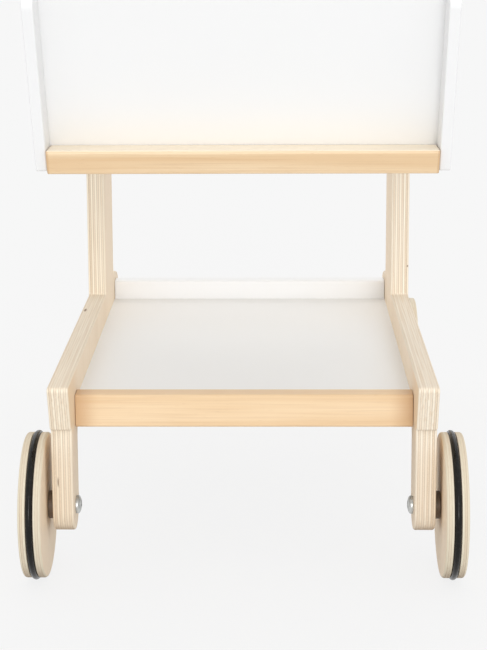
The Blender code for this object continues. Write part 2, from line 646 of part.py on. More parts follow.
def build_spacer(corner, axle_y, side):
    """The ring round the sleeve nut that keeps a wheel off its leg."""
    bore = SLEEVE_RADIUS + SEAT_GAP
    outside = [(SPACER_RADIUS, SPACER_LENGTH), (SPACER_RADIUS, 0.0)]
    profile = [(bore, SPACER_LENGTH), *outside, (bore, 0.0)]
    place = across(side * (FRAME_OUTER_X + SEAT_GAP), axle_y, WHEEL_RADIUS, side)
    turned(f"wheel_spacer_{corner}", profile, place, NYLON, ring=True)


def build_bolt(corner, axle_y, side):
    """The bolt through the leg into the sleeve nut, with a cross recess in its head."""
    shank_end = -(PLY + SEAT_GAP + BOLT_GRIP_IN_SLEEVE)
    shank = [(BOLT_RADIUS, 0.0), (BOLT_RADIUS, shank_end), (0.0, shank_end)]
    seat_x = FRAME_INNER_X - SEAT_GAP
    place = across(side * seat_x, axle_y, WHEEL_RADIUS, -side)
    bolt = turned(f"axle_bolt_{corner}", dome(BOLT_HEAD_RADIUS, BOLT_HEAD_HEIGHT) + shank, place, ZINC)
    x_span = mirrored_span(side, 0.0, seat_x - BOLT_HEAD_HEIGHT + RECESS_DEPTH)
    slots = {"upright": (RECESS_WIDTH, RECESS_SPAN), "level": (RECESS_SPAN, RECESS_WIDTH)}
    for label, (along_y, along_z) in slots.items():
        y_span = (axle_y - along_y / 2, axle_y + along_y / 2)
        z_span = (WHEEL_RADIUS - along_z / 2, WHEEL_RADIUS + along_z / 2)
        cut_away(bolt, box_cutter(f"{bolt.name}_{label}_slot", *y_span, *z_span, *x_span))


def build_screws(side_name, side):
    """The wood screws on one side, driven inwards from the outer faces."""
    for label, (head_x, y, z, length) in screw_places().items():
        shank = [(SCREW_RADIUS, 0.0), (SCREW_RADIUS, SCREW_TIP_LENGTH - length), (0.0, -length)]
        profile = dome(SCREW_HEAD_RADIUS, SCREW_HEAD_HEIGHT) + shank
        place = across(side * head_x, y, z, side)
        turned(f"screw_{label}_{side_name}", profile, place, ZINC, SCREW_SEGMENTS)


def build_cart():
    """Model the whole cart."""
    build_tray()
    build_basket()
    build_handle()
    for side_name, side in SIDES.items():
        build_side_frame(side_name, side)
        build_basket_wall(side_name, side)
        build_screws(side_name, side)
        for axle_name, axle_y in AXLES.items():
            for build in (build_wheel, build_sleeve, build_spacer, build_bolt):
                build(f"{axle_name}_{side_name}", axle_y, side)


build_cart()
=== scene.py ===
"""Looks of a toy shopping cart: fine pieces, finishes, studio and camera around its CAD frame.

Units are metres, +Z is up and the front of the cart faces -Y. Left and right are as seen from
the front.
"""

import logging
import math
from dataclasses import dataclass, field, fields, replace
from enum import Enum
from typing import Any, Callable, Mapping, Optional, Sequence, Union

import bmesh
import bpy
from mathutils import Matrix, Vector
from mathutils.geometry import tessellate_polygon


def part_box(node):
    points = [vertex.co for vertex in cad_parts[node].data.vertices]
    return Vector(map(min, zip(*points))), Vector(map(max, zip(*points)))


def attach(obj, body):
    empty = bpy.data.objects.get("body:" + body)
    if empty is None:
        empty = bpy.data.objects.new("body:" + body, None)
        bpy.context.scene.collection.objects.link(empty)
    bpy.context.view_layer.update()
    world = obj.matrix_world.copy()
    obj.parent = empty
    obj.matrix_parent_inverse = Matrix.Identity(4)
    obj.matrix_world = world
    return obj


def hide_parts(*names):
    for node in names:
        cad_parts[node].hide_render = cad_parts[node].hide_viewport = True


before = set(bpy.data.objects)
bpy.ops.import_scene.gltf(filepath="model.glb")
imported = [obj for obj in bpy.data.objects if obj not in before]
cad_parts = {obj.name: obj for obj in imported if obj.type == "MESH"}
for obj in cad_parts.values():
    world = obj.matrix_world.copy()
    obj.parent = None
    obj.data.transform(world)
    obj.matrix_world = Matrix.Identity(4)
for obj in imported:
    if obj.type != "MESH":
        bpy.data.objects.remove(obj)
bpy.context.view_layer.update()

MM = 0.001
IMAGE_SIZE = (487, 650)
SENSOR = 36.0
ARC_STEP = math.radians(5.0)
SAME_PLACE = 1e-7
RIM_STEPS = 4
HOLE_STEPS = 28
DOME_RINGS = 24
DOME_CUT = -0.01
WELD = 0.002 * MM
COLOUR_MIX_INPUTS = (0, 6, 7)
COLOUR_MIX_OUTPUT = 2

log = logging.getLogger("toy_cart")

Number = Union[float, "Socket"]
Colour = tuple[float, float, float]
Axes = tuple[float, float, float]
Span = tuple[float, float]

NOWHERE: Axes = (0.0, 0.0, 0.0)
EVEN: Axes = (1.0, 1.0, 1.0)


class Side(Enum):
    """The two sides of the cart, with the sign of their X."""

    LEFT = -1
    RIGHT = 1

    @property
    def label(self) -> str:
        """The side's name inside node names."""
        return self.name.lower()


class Axle(Enum):
    """The two axles of the cart."""

    FRONT = "front"
    REAR = "rear"


class Slot(Enum):
    """Material slots of the record."""

    PLY = "birch_ply"
    WOOD = "natural_wood"
    PAINT = "white_paint"
    RUBBER = "black_rubber"
    ZINC = "zinc"
    NYLON = "nylon"


# Node trees

def math_method(operation: str, reflected: bool = False) -> Callable[["Socket", Number], "Socket"]:
    """A method for an operator between a socket and a value.

    Args:
        operation: the Math node's operation.
        reflected: whether the socket stands on the right of the operator.

    Returns:
        The method.
    """
    def method(self: "Socket", other: Number) -> "Socket":
        """The Math node's output."""
        return self.math(operation, *((other, self) if reflected else (self, other)))

    return method


class Socket:
    """An output of a node. Arithmetic on it adds Math nodes to its sheet."""

    def __init__(self, sheet: "NodeSheet", output: bpy.types.NodeSocket) -> None:
        """Keep the sheet that new nodes go to and the output that this stands for."""
        self.sheet = sheet
        self.output = output

    def math(self, operation: str, *operands: Number) -> "Socket":
        """A Math node on the operands, in order."""
        settings = {"operation": operation}
        return self.sheet.node("ShaderNodeMath", settings, dict(enumerate(operands)))

    __add__, __radd__ = math_method("ADD"), math_method("ADD", True)
    __sub__, __rsub__ = math_method("SUBTRACT"), math_method("SUBTRACT", True)
    __mul__, __rmul__ = math_method("MULTIPLY"), math_method("MULTIPLY", True)
    __truediv__, __rtruediv__ = math_method("DIVIDE"), math_method("DIVIDE", True)
    __pow__, __rpow__ = math_method("POWER"), math_method("POWER", True)
    __mod__, __rmod__ = math_method("FLOORED_MODULO"), math_method("FLOORED_MODULO", True)
    __lt__, __gt__ = math_method("LESS_THAN"), math_method("GREATER_THAN")

    def __abs__(self) -> "Socket":
        """Size without sign."""
        return self.math("ABSOLUTE", self)

    def floor(self) -> "Socket":
        """Whole number below."""
        return self.math("FLOOR", self)

    def above(self, least: float) -> "Socket":
        """This, from zero to one, squeezed into the range from the least value to one."""
        return (1.0 - least) * self + least

    def ramp(self, low: float, high: float) -> "Socket":
        """A smooth step from zero at low to one at high.

        Args:
            low: the value that gives zero.
            high: the value that gives one.

        Returns:
            The step's output.
        """
        settings = {"interpolation_type": "SMOOTHSTEP"}
        inputs = {"Value": self, "From Min": low, "From Max": high}
        return self.sheet.node("ShaderNodeMapRange", settings, inputs)

    def moved(self, shift: Axes = NOWHERE, scale: Axes = EVEN) -> "Socket":
        """Coordinates scaled and then shifted along each axis."""
        inputs = {"Vector": self, "Location": shift, "Scale": scale}
        return self.sheet.node("ShaderNodeMapping", {}, inputs)

    def beside(self, name: str) -> "Socket":
        """Another output of the same node."""
        return Socket(self.sheet, self.output.node.outputs[name])

    def parts(self) -> list["Socket"]:
        """The three numbers of a vector."""
        x = self.sheet.node("ShaderNodeSeparateXYZ", {}, {0: self})
        return [x, x.beside("Y"), x.beside("Z")]


class NodeSheet:
    """Adds nodes to one node tree."""

    def __init__(self, tree: bpy.types.NodeTree) -> None:
        """Keep the tree to fill."""
        self.tree = tree

    def feed(self, node: bpy.types.Node, inputs: Mapping[Any, Any]) -> None:
        """Set or link the input sockets of a node.

        Args:
            node: the node.
            inputs: values, links or lists of links by socket name or number.
        """
        for key, value in inputs.items():
            for item in value if isinstance(value, list) else [value]:
                if isinstance(item, Socket):
                    self.tree.links.new(item.output, node.inputs[key])
                else:
                    node.inputs[key].default_value = item

    def node(
        self,
        kind: str,
        settings: Mapping[str, Any],
        inputs: Mapping[Any, Any],
        output: Union[int, str] = 0,
    ) -> Socket:
        """Add a node.

        Args:
            kind: the node's type.
            settings: its properties, set before its sockets.
            inputs: values, links or lists of links by socket name or number.
            output: the output to return, by name or number.

        Returns:
            The chosen output, which stands for nothing at the end of a tree.
        """
        made = self.tree.nodes.new(kind)
        for name, value in settings.items():
            setattr(made, name, value)
        self.feed(made, inputs)
        return Socket(self, made.outputs[output] if made.outputs else None)

    def blend(self, factor: Number, first: Any, second: Any) -> Socket:
        """A colour mix.

        Args:
            factor: share of the second colour.
            first: colour or link.
            second: colour or link.

        Returns:
            The mixed colour.
        """
        colours = [c if isinstance(c, Socket) else (*c, 1.0) for c in (first, second)]
        inputs = dict(zip(COLOUR_MIX_INPUTS, (factor, *colours)))
        return self.node("ShaderNodeMix", {"data_type": "RGBA"}, inputs, COLOUR_MIX_OUTPUT)

    def tinted(self, colour: Any, tints: Sequence[tuple[Number, Any]]) -> Any:
        """A colour with tints laid over it in order.

        Args:
            colour: colour or link.
            tints: the share and the colour or link of each tint.

        Returns:
            The tinted colour.
        """
        for share, tint in tints:
            colour = self.blend(share, colour, tint)
        return colour


# Finishes

@dataclass(frozen=True)
class Surface:
    """What a finish feeds to its shader."""

    colour: Any
    roughness: Number
    height: Number


@dataclass(frozen=True)
class Grain:
    """A noise in a finish, with its shares of the finish's colour, roughness and height."""

    stretch: Axes = EVEN
    fineness: float = 1.0
    octaves: float = 2.0
    warp: float = 0.0
    tint: str = "shade"
    shown: Span = (0.0, 1.0)
    share: float = 0.0
    dullness: float = 0.0
    relief: float = 0.0

    def value(self, place: Socket) -> Socket:
        """The noise, between zero and one.

        Args:
            place: where it is read.

        Returns:
            The noise.
        """
        vector = place if self.stretch == EVEN else place.moved(scale=self.stretch)
        inputs = {"Vector": vector, "Scale": self.fineness}
        inputs |= {"Detail": self.octaves, "Distortion": self.warp}
        return place.sheet.node("ShaderNodeTexNoise", {}, inputs)

    def mask(self, place: Socket) -> Socket:
        """The share of its tint, from the range that shows."""
        return self.value(place).ramp(*self.shown) * self.share


@dataclass(frozen=True)
class Finish:
    """A procedural material: a plain colour and dullness, changed by its grains."""

    name: str
    slot: Slot
    plain: Colour = (0.8, 0.8, 0.8)
    shade: Colour = (0.7, 0.7, 0.7)
    dullness: float = 0.5
    metallic: float = 0.0
    specular: float = 0.5
    coat: float = 0.0
    coat_roughness: float = 0.3
    bump_depth: float = 0.05 * MM

    @property
    def grains(self) -> list[Grain]:
        """The finish's noises in order."""
        values = [getattr(self, item.name) for item in fields(self)]
        return [value for value in values if isinstance(value, Grain)]

    @property
    def bare(self) -> Surface:
        """The surface without any grain."""
        return Surface(self.plain, self.dullness, 0.0)

    def layered(
        self,
        place: Socket,
        grains: Sequence[Grain],
        under: Surface,
    ) -> Surface:
        """Lay grains over a surface.

        Args:
            place: where the grains are read.
            grains: the grains in order.
            under: the surface below them.

        Returns:
            The surface with the grains.
        """
        colour, roughness, height = under.colour, under.roughness, under.height
        for grain in grains:
            value = grain.value(place)
            if grain.share:
                share = value.ramp(*grain.shown) * grain.share
                colour = place.sheet.blend(share, colour, getattr(self, grain.tint))
            if grain.dullness:
                roughness = value * grain.dullness + roughness
            if grain.relief:
                height = value * grain.relief + height
        return Surface(colour, roughness, height)

    def surface(self, place: Socket, normal: Socket) -> Surface:
        """Colour, roughness and height at Object coordinates: the grains in order."""
        return self.layered(place, self.grains, self.bare)

    def material(self) -> bpy.types.Material:
        """Make the material.

        Returns:
            The new material.
        """
        material = bpy.data.materials.new(self.name)
        material.use_nodes = True
        sheet = NodeSheet(material.node_tree)
        place = sheet.node("ShaderNodeTexCoord", {}, {}, "Object")
        surface = self.surface(place, place.beside("Normal"))
        bump = {"Strength": 1.0, "Distance": self.bump_depth, "Height": surface.height}
        inputs = {
            "Base Color": surface.colour,
            "Roughness": surface.roughness,
            "Normal": sheet.node("ShaderNodeBump", {}, bump),
            "Metallic": self.metallic,
            "Specular IOR Level": self.specular,
            "Coat Weight": self.coat,
            "Coat Roughness": self.coat_roughness,
        }
        sheet.feed(sheet.tree.nodes["Principled BSDF"], inputs)
        return material


@dataclass(frozen=True)
class Knot:
    """A small dark knot in the wood."""

    place: Axes
    size: Axes
    fade: Span = (1.0, 0.3)

    def mask(self, place: Socket) -> Socket:
        """One inside the knot, fading to zero around it.

        Args:
            place: Object coordinates.

        Returns:
            The mask.
        """
        shift = tuple(-p / s for p, s in zip(self.place, self.size))
        away = place.moved(shift, tuple(1.0 / s for s in self.size))
        settings = {"operation": "LENGTH"}
        length = place.sheet.node("ShaderNodeVectorMath", settings, {0: away}, "Value")
        return length.ramp(*self.fade)


@dataclass(frozen=True)
class BirchPly(Finish):
    """Clear lacquered birch plywood: veneer on the faces, plies along every cut edge."""

    plain: Colour = (0.94, 0.79, 0.61)
    shade: Colour = (0.87, 0.71, 0.525)
    dullness: float = 0.46
    specular: float = 0.3
    pale: Colour = (0.93, 0.84, 0.69)
    warm: Colour = (0.82, 0.68, 0.51)
    # The end grain and glue colours also serve as painted shade on upward and downward faces and
    # towards the floor.
    end_grain: Colour = (0.52, 0.385, 0.265)
    glue: Colour = (0.34, 0.235, 0.15)
    knot_tone: Colour = (0.30, 0.20, 0.13)
    # Painted bounce light: the warm tone on the inner faces beside the tray's front rail.
    rail_tone: Colour = (0.86, 0.60, 0.33)
    knots: tuple[Knot, ...] = ()
    inner_x: float = 0.0
    thickness: float = 15.0 * MM
    plies: int = 9
    wander: float = 0.6 * MM
    tone_seed: float = 7.3
    joint_seed: float = 31.7
    face_turn: Span = (0.80, 0.97)
    up_turn: Span = (0.50, 0.95)
    down_turn: Span = (-0.50, -0.90)
    foot: Span = (112.0 * MM, 92.0 * MM)
    # Where the painted bounce light lies along Y and Z.
    rail_y: Span = (-190.0 * MM, -235.0 * MM)
    rail_z: Span = (104.0 * MM, 120.0 * MM)
    fibre_shown: Span = (0.42, 0.72)
    fibre_share: float = 0.8
    fibre_relief: float = 0.7
    end_contrast: float = 0.75
    end_off_front: float = 0.45
    end_dullness: float = 0.10
    tone_least: float = 0.25
    tone_share: float = 0.30
    glue_width: float = 0.18
    glue_least: float = 0.35
    glue_off_front: float = 0.4
    glue_depth: float = 0.8
    # Shares of painted shade: on upward faces, on downward faces and towards the floor.
    topside: float = 0.18
    underside: float = 0.6
    foot_share: float = 0.2
    rail_share: float = 0.0
    drift: Grain = Grain((60.0, 9.0, 9.0))
    upright_fibres: Grain = Grain((900.0, 500.0, 16.0), octaves=3.0)
    level_fibres: Grain = Grain((900.0, 16.0, 500.0), octaves=3.0)
    pores: Grain = Grain(fineness=2600.0, shown=(0.30, 0.72), share=1.0)
    figure: Grain = Grain(
        (14.0, 26.0, 3.2), octaves=4.0, warp=0.6, shown=(0.35, 0.68), share=0.6
    )
    fleck: Grain = Grain(
        (700.0, 700.0, 55.0), tint="end_grain", shown=(0.62, 0.80), share=0.25, relief=0.6
    )
    sheen: Grain = Grain(fineness=160.0, dullness=0.16)

    def chance(self, number: Socket) -> Socket:
        """A random value between zero and one for each number."""
        settings = {"noise_dimensions": "1D"}
        return number.sheet.node("ShaderNodeTexWhiteNoise", settings, {"W": number})

    def edge(self, place: Socket, normal: Socket, share: Socket) -> Surface:
        """The plies along a cut edge, with painted shade on upward and downward faces and towards
        the floor.

        Args:
            place: Object coordinates.
            normal: the surface direction.
            share: one on the edges and zero on the faces.

        Returns:
            Their colour, and what they add to the roughness and height.
        """
        sheet = place.sheet
        x, _, z = place.parts()
        _, ny, nz = normal.parts()
        front = ny * ny
        level = nz * nz
        drift = (self.drift.value(place) - 0.5) * self.wander
        depth = (abs(x) - self.inner_x + drift) * (self.plies / self.thickness)
        layer = depth.floor()
        joint = (depth + 0.5).floor()
        tone = self.chance(layer + self.tone_seed)
        strength = self.chance(joint + self.joint_seed)
        across = layer % 2.0
        cut = across * front + (1.0 - across) * level
        cut_fibres = sheet.blend(self.pores.mask(place), self.end_grain, self.warm)
        cut_shown = front.above(self.end_off_front) * tone.above(self.tone_least)
        upright = self.upright_fibres.value(place) * front
        fibres = upright + self.level_fibres.value(place) * level
        seam = abs(depth - joint).ramp(self.glue_width, 0.0) * strength.above(self.glue_least)
        tints = (
            (fibres.ramp(*self.fibre_shown) * self.fibre_share, self.warm),
            (cut * cut_shown * self.end_contrast, cut_fibres),
            (tone * self.tone_share, self.warm),
            (seam * front.above(self.glue_off_front), self.glue),
            # Painted shade: darker on upward faces, towards the floor and on downward faces.
            (nz.ramp(*self.up_turn) * self.topside, self.end_grain),
            (z.ramp(*self.foot) * self.foot_share, self.end_grain),
            (nz.ramp(*self.down_turn) * self.underside, self.glue),
        )
        height = self.fibre_relief * fibres - self.glue_depth * seam * share
        return Surface(sheet.tinted(self.pale, tints), self.end_dullness * cut * share, height)

    def surface(self, place: Socket, normal: Socket) -> Surface:
        """Veneer where the surface faces along X, plies everywhere else, with a painted warm bounce
        light on the inner faces beside the tray's front rail.

        Args:
            place: Object coordinates.
            normal: the surface direction in the object's own axes.

        Returns:
            The surface.
        """
        sheet = place.sheet
        x, y, z = place.parts()
        nx = normal.parts()[0]
        face = abs(nx).ramp(*self.face_turn)
        edge = self.edge(place, normal, 1.0 - face)
        veneer = self.layered(place, (self.figure, self.fleck, self.sheen), self.bare)
        # Painted bounce light on the inner faces beside the tray's front rail.
        painted_bounce_mask = y.ramp(*self.rail_y) * z.ramp(*self.rail_z)
        painted_bounce_mask = painted_bounce_mask * (x * nx).ramp(0.0, -self.inner_x)
        flat = sheet.blend(painted_bounce_mask * self.rail_share, veneer.colour, self.rail_tone)
        tints = [(knot.mask(place), self.knot_tone) for knot in self.knots]
        colour = sheet.tinted(sheet.blend(face, edge.colour, flat), tints)
        return Surface(colour, veneer.roughness + edge.roughness, veneer.height + edge.height)


@dataclass(frozen=True)
class NaturalWood(Finish):
    """Clear lacquered solid wood with its grain along X."""

    plain: Colour = (0.86, 0.66, 0.43)
    shade: Colour = (0.77, 0.54, 0.31)
    dullness: float = 0.36
    # The dark colour is the grain's, and also the painted shade at the ends.
    dark: Colour = (0.60, 0.38, 0.20)
    # Painted light: the paler colour of upward faces.
    top: Colour = (0.99, 0.88, 0.70)
    seed: float = 0.0
    # Painted shade towards the ends, where a rail meets the frames or walls.
    ends: Span = (0.0, 1.0)
    end_share: float = 0.0
    top_turn: Span = (0.5, 0.95)
    top_share: float = 0.0
    bands: Grain = Grain(
        (2.2, 95.0, 95.0), octaves=3.0, warp=0.8, shown=(0.35, 0.70), share=1.0
    )
    drift: Grain = Grain((7.0, 18.0, 18.0), shown=(0.35, 0.75), share=0.5)
    fibres: Grain = Grain(
        (14.0, 900.0, 900.0),
        octaves=3.0,
        tint="dark",
        shown=(0.45, 0.80),
        share=0.35,
        dullness=0.08,
        relief=0.8,
    )
    pores: Grain = Grain(
        (130.0, 1900.0, 1900.0), octaves=1.0, tint="dark", shown=(0.66, 0.80), share=0.30
    )
    pits: Grain = Grain((130.0, 1900.0, 1900.0), octaves=1.0, shown=(0.62, 0.80), share=0.8)
    sheen: Grain = Grain(fineness=140.0, dullness=0.16)

    def surface(self, place: Socket, normal: Socket) -> Surface:
        """Bands of growth, fibres and short pores, with painted shade at the ends and painted light
        on top.

        Args:
            place: Object coordinates.
            normal: the surface direction in the object's own axes.

        Returns:
            The surface.
        """
        along = place.moved((self.seed,) * 3)
        growth = self.layered(along, (self.bands, self.drift), self.bare)
        # Painted shade towards the ends.
        end_shade_mask = abs(place.parts()[0]).ramp(*self.ends)
        # Painted light on upward faces.
        upward = normal.parts()[2].ramp(*self.top_turn)
        tints = ((end_shade_mask * self.end_share, self.dark), (upward * self.top_share, self.top))
        under = replace(growth, colour=place.sheet.tinted(growth.colour, tints))
        fine = self.layered(along, (self.fibres, self.pores, self.sheen), under)
        return replace(fine, height=fine.height - self.pits.mask(along))


@dataclass(frozen=True)
class WhitePaint(Finish):
    """Sprayed white paint with orange peel, over the fibres of a board."""

    plain: Colour = (0.87, 0.875, 0.88)
    shade: Colour = (0.82, 0.825, 0.825)
    dullness: float = 0.32
    bump_depth: float = 0.0005 * MM
    clouds: Grain = Grain(fineness=9.0, octaves=3.0, shown=(0.3, 0.8), share=0.15)
    specks: Grain = Grain(fineness=420.0, shown=(0.68, 0.85), share=0.1)
    peel: Grain = Grain(fineness=750.0, dullness=0.01, relief=0.7)
    fibres: Grain = Grain((30.0, 320.0, 320.0), relief=0.3)
    sheen: Grain = Grain(fineness=25.0, dullness=0.04)


@dataclass(frozen=True)
class BlackRubber(Finish):
    """A smooth black rubber cord, dull and dusty where it rolls."""

    plain: Colour = (0.0065, 0.006, 0.005)
    shade: Colour = (0.050, 0.046, 0.040)
    dullness: float = 0.17
    specular: float = 0.2
    bump_depth: float = 0.006 * MM
    hub: Span = (0.0, 0.0)
    tread_radius: float = 57.5 * MM
    tread_reach: float = 1.6 * MM
    worn_shown: Span = (0.45, 0.75)
    worn_share: float = 0.15
    worn_dullness: float = 0.10
    scuffs: Grain = Grain(
        fineness=380.0, octaves=4.0, shown=(0.6, 0.9), share=0.05, dullness=0.06, relief=0.5
    )
    skin: Grain = Grain(fineness=1800.0, relief=0.5)

    def surface(self, place: Socket, normal: Socket) -> Surface:
        """Dust and scuffs on the outermost line of the ring.

        Args:
            place: Object coordinates.
            normal: the surface direction in the object's own axes; not used.

        Returns:
            The surface.
        """
        _, y, z = place.parts()
        away_y = y - self.hub[0]
        away_z = z - self.hub[1]
        radius = (away_y * away_y + away_z * away_z) ** 0.5
        tread = radius.ramp(self.tread_radius - self.tread_reach, self.tread_radius)
        worn = self.scuffs.value(place).ramp(*self.worn_shown) * tread
        cord = self.layered(place, self.grains, self.bare)
        colour = place.sheet.blend(worn * self.worn_share, cord.colour, self.shade)
        return Surface(colour, cord.roughness + worn * self.worn_dullness, cord.height)


@dataclass(frozen=True)
class ZincPlate(Finish):
    """Bright zinc plating on steel, cloudy and with fine marks."""

    plain: Colour = (0.60, 0.61, 0.595)
    shade: Colour = (0.38, 0.39, 0.38)
    dullness: float = 0.24
    metallic: float = 1.0
    bump_depth: float = 0.01 * MM
    clouds: Grain = Grain(
        fineness=240.0, octaves=3.0, shown=(0.35, 0.75), share=1.0, dullness=0.20
    )
    marks: Grain = Grain((2200.0, 2200.0, 300.0), dullness=0.08, relief=1.0)


@dataclass(frozen=True)
class DarkNylon(Finish):
    """Moulded nylon, coloured brown as the shade in the gap between wheel and leg (painted shade),
    with faint clouds and a fine skin.
    """

    # Painted shade: a dark brown like the shade in the gap beside the spacer.
    plain: Colour = (0.115, 0.075, 0.046)
    shade: Colour = (0.140, 0.092, 0.058)
    dullness: float = 0.42
    bump_depth: float = 0.01 * MM
    clouds: Grain = Grain(fineness=160.0, octaves=3.0, shown=(0.3, 0.8), share=1.0)
    skin: Grain = Grain(fineness=1500.0, dullness=0.12, relief=1.0)


# Meshes

@dataclass(frozen=True)
class Corner:
    """A corner of an outline, in its own two axes, rounded by a radius."""

    across: float
    up: float
    radius: float

    @property
    def place(self) -> Vector:
        """The corner's point."""
        return Vector((self.across, self.up))


@dataclass(frozen=True)
class RimPoint:
    """A point of an outline and the direction that leads out of the material there."""

    place: Vector
    outward: Vector


def outline(corners: Sequence[Corner]) -> list[RimPoint]:
    """Round the corners of a closed outline, walked with the material on the left hand.

    Args:
        corners: the corners in order.

    Returns:
        The points of the rounded outline, each with its exact outward direction.
    """
    points: list[RimPoint] = []
    for index, corner in enumerate(corners):
        here = corner.place
        to_last = (corners[index - 1].place - here).normalized()
        to_next = (corners[(index + 1) % len(corners)].place - here).normalized()
        half = to_last.angle(to_next) / 2
        centre = here + (to_last + to_next).normalized() * corner.radius / math.sin(half)
        start = math.atan2(to_last.x, -to_last.y)
        end = math.atan2(-to_next.x, to_next.y)
        turn = (end - start + math.pi) % (2 * math.pi) - math.pi
        bulge = math.copysign(corner.radius, turn)
        steps = max(1, math.ceil(abs(turn) / ARC_STEP))
        for step in range(steps + 1):
            angle = start + turn * step / steps
            outward = Vector((math.cos(angle), math.sin(angle)))
            place = centre + outward * bulge
            if not points or (place - points[-1].place).length > SAME_PLACE:
                points.append(RimPoint(place, outward))
    if (points[0].place - points[-1].place).length < SAME_PLACE:
        points.pop()
    return points


def round_hole(node: str, radius: float) -> list[RimPoint]:
    """The rim of a round hole through a slab, where a CAD node goes through it along X.

    Args:
        node: the CAD node.
        radius: the hole's radius.

    Returns:
        The points of the rim.
    """
    centre = node_centre(node).yz
    angles = [-2 * math.pi * index / HOLE_STEPS for index in range(HOLE_STEPS)]
    ways = [Vector((math.cos(angle), math.sin(angle))) for angle in angles]
    return [RimPoint(centre + way * radius, -way) for way in ways]


def closed_mesh(
    name: str,
    places: Sequence[Sequence[float]],
    normals: Sequence[Sequence[float]],
    faces: Sequence[Sequence[int]],
) -> bpy.types.Mesh:
    """A smooth mesh with its faces outwards and exact normals.

    Args:
        name: the mesh's name.
        places: vertex positions.
        normals: vertex normals.
        faces: vertex numbers of each face.

    Returns:
        The mesh.
    """
    mesh = bpy.data.meshes.new(name)
    mesh.from_pydata(places, [], faces)
    solid = bmesh.new()
    solid.from_mesh(mesh)
    bmesh.ops.recalc_face_normals(solid, faces=solid.faces)
    solid.to_mesh(mesh)
    solid.free()
    mesh.shade_smooth()
    mesh.normals_split_custom_set_from_vertices(normals)
    return mesh


def slab_mesh(
    name: str,
    loops: Sequence[Sequence[RimPoint]],
    span: Span,
    rim: float,
) -> bpy.types.Mesh:
    """A flat shape in YZ with a thickness along X and rounded rims.

    Args:
        name: the mesh's name.
        loops: the outline and then the holes.
        span: lowest and highest X.
        rim: radius of the rounding between the faces and the edges.

    Returns:
        The mesh.
    """
    quarter = [math.pi / 2 * step / RIM_STEPS for step in range(RIM_STEPS + 1)]
    rings = []
    for end, way, turns in ((span[0], -1, quarter), (span[1], 1, reversed(quarter))):
        for turn in turns:
            x = end - way * rim * (1 - math.cos(turn))
            rings.append((x, 1 - math.sin(turn), way * math.cos(turn)))
    places: list[Axes] = []
    normals: list[Axes] = []
    faces: list[tuple[int, ...]] = []
    caps: tuple[list[int], list[int]] = ([], [])
    for loop in loops:
        first = len(places)
        count = len(loop)
        for x, inset, lean in rings:
            tilt = math.sqrt(max(0.0, 1 - lean * lean))
            for point in loop:
                shifted = point.place - point.outward * inset * rim
                places.append((x, shifted.x, shifted.y))
                normals.append((lean, point.outward.x * tilt, point.outward.y * tilt))
        for ring in range(len(rings) - 1):
            low = first + ring * count
            for index in range(count):
                follow = (index + 1) % count
                faces.append((low + index, low + follow, low + count + follow, low + count + index))
        caps[0].append(first)
        caps[1].append(first + (len(rings) - 1) * count)
    for starts in caps:
        order = [start + index for start, loop in zip(starts, loops) for index in range(len(loop))]
        rims = []
        for start, loop in zip(starts, loops):
            rims.append([Vector((*places[start + index][1:], 0.0)) for index in range(len(loop))])
        faces.extend(tuple(order[index] for index in corner) for corner in tessellate_polygon(rims))
    return closed_mesh(name, places, normals, faces)


def turned_mesh(
    name: str,
    profile: Sequence[RimPoint],
    place: Matrix,
    segments: int,
) -> bpy.types.Mesh:
    """A turned shape from a closed section of radius and height.

    Args:
        name: the mesh's name.
        profile: the section, its first axis the radius.
        place: where the shape's own +Z axis and origin go.
        segments: faces round the axis.

    Returns:
        The mesh.
    """
    turn = place.to_3x3()
    places: list[Vector] = []
    normals: list[Vector] = []
    faces: list[list[int]] = []
    rows: list[list[int]] = []
    for point in profile:
        radius, height = point.place
        pole = radius < SAME_PLACE
        row = []
        for index in range(1 if pole else segments):
            angle = 2 * math.pi * index / segments
            way = Vector((math.cos(angle), math.sin(angle), 0.0))
            out = Vector((0, 0, height)).normalized() if pole else way * point.outward.x
            out = out if pole else out + Vector((0, 0, point.outward.y))
            row.append(len(places))
            places.append(place @ (way * radius + Vector((0, 0, height))))
            normals.append(turn @ out)
        rows.append(row)
    for row, after in zip(rows, rows[1:] + rows[:1]):
        for index in range(segments if max(len(row), len(after)) > 1 else 0):
            follow = (index + 1) % segments
            ring = [row[index % len(row)], row[follow % len(row)]]
            ring += [after[follow % len(after)], after[index % len(after)]]
            faces.append(list(dict.fromkeys(ring)))
    return closed_mesh(name, places, normals, faces)


def pointing(place: Sequence[float], sign: int) -> Matrix:
    """Place of a turned shape whose own +Z points along X, or against it."""
    return Matrix.Translation(place) @ Matrix.Rotation(sign * math.pi / 2, 4, "Y")


def node_centre(node: str) -> Vector:
    """Middle of a CAD node's box."""
    low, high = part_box(node)
    return (low + high) / 2


def node_span(node: str, axis: int) -> Span:
    """Lowest and highest place of a CAD node along an axis."""
    low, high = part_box(node)
    return low[axis], high[axis]


def node_half(node: str) -> Axes:
    """Half of a CAD node's size along each axis."""
    low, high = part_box(node)
    return tuple((end - start) / 2 for start, end in zip(low, high))


def in_mm(*lengths: float) -> tuple[float, ...]:
    """Lengths in millimetres as metres."""
    return tuple(length * MM for length in lengths)


# Pieces

class MaterialShelf:
    """Makes each finish's material once."""

    def __init__(self) -> None:
        """Start empty."""
        self.made: dict[Finish, bpy.types.Material] = {}

    def get(self, finish: Finish) -> bpy.types.Material:
        """The material of a finish, made on first use."""
        self.made[finish] = self.made.get(finish) or finish.material()
        return self.made[finish]

    def dress(self, mesh: bpy.types.Mesh, finish: Finish) -> None:
        """Give a mesh the material of a finish and no other."""
        mesh.materials.clear()
        mesh.materials.append(self.get(finish))


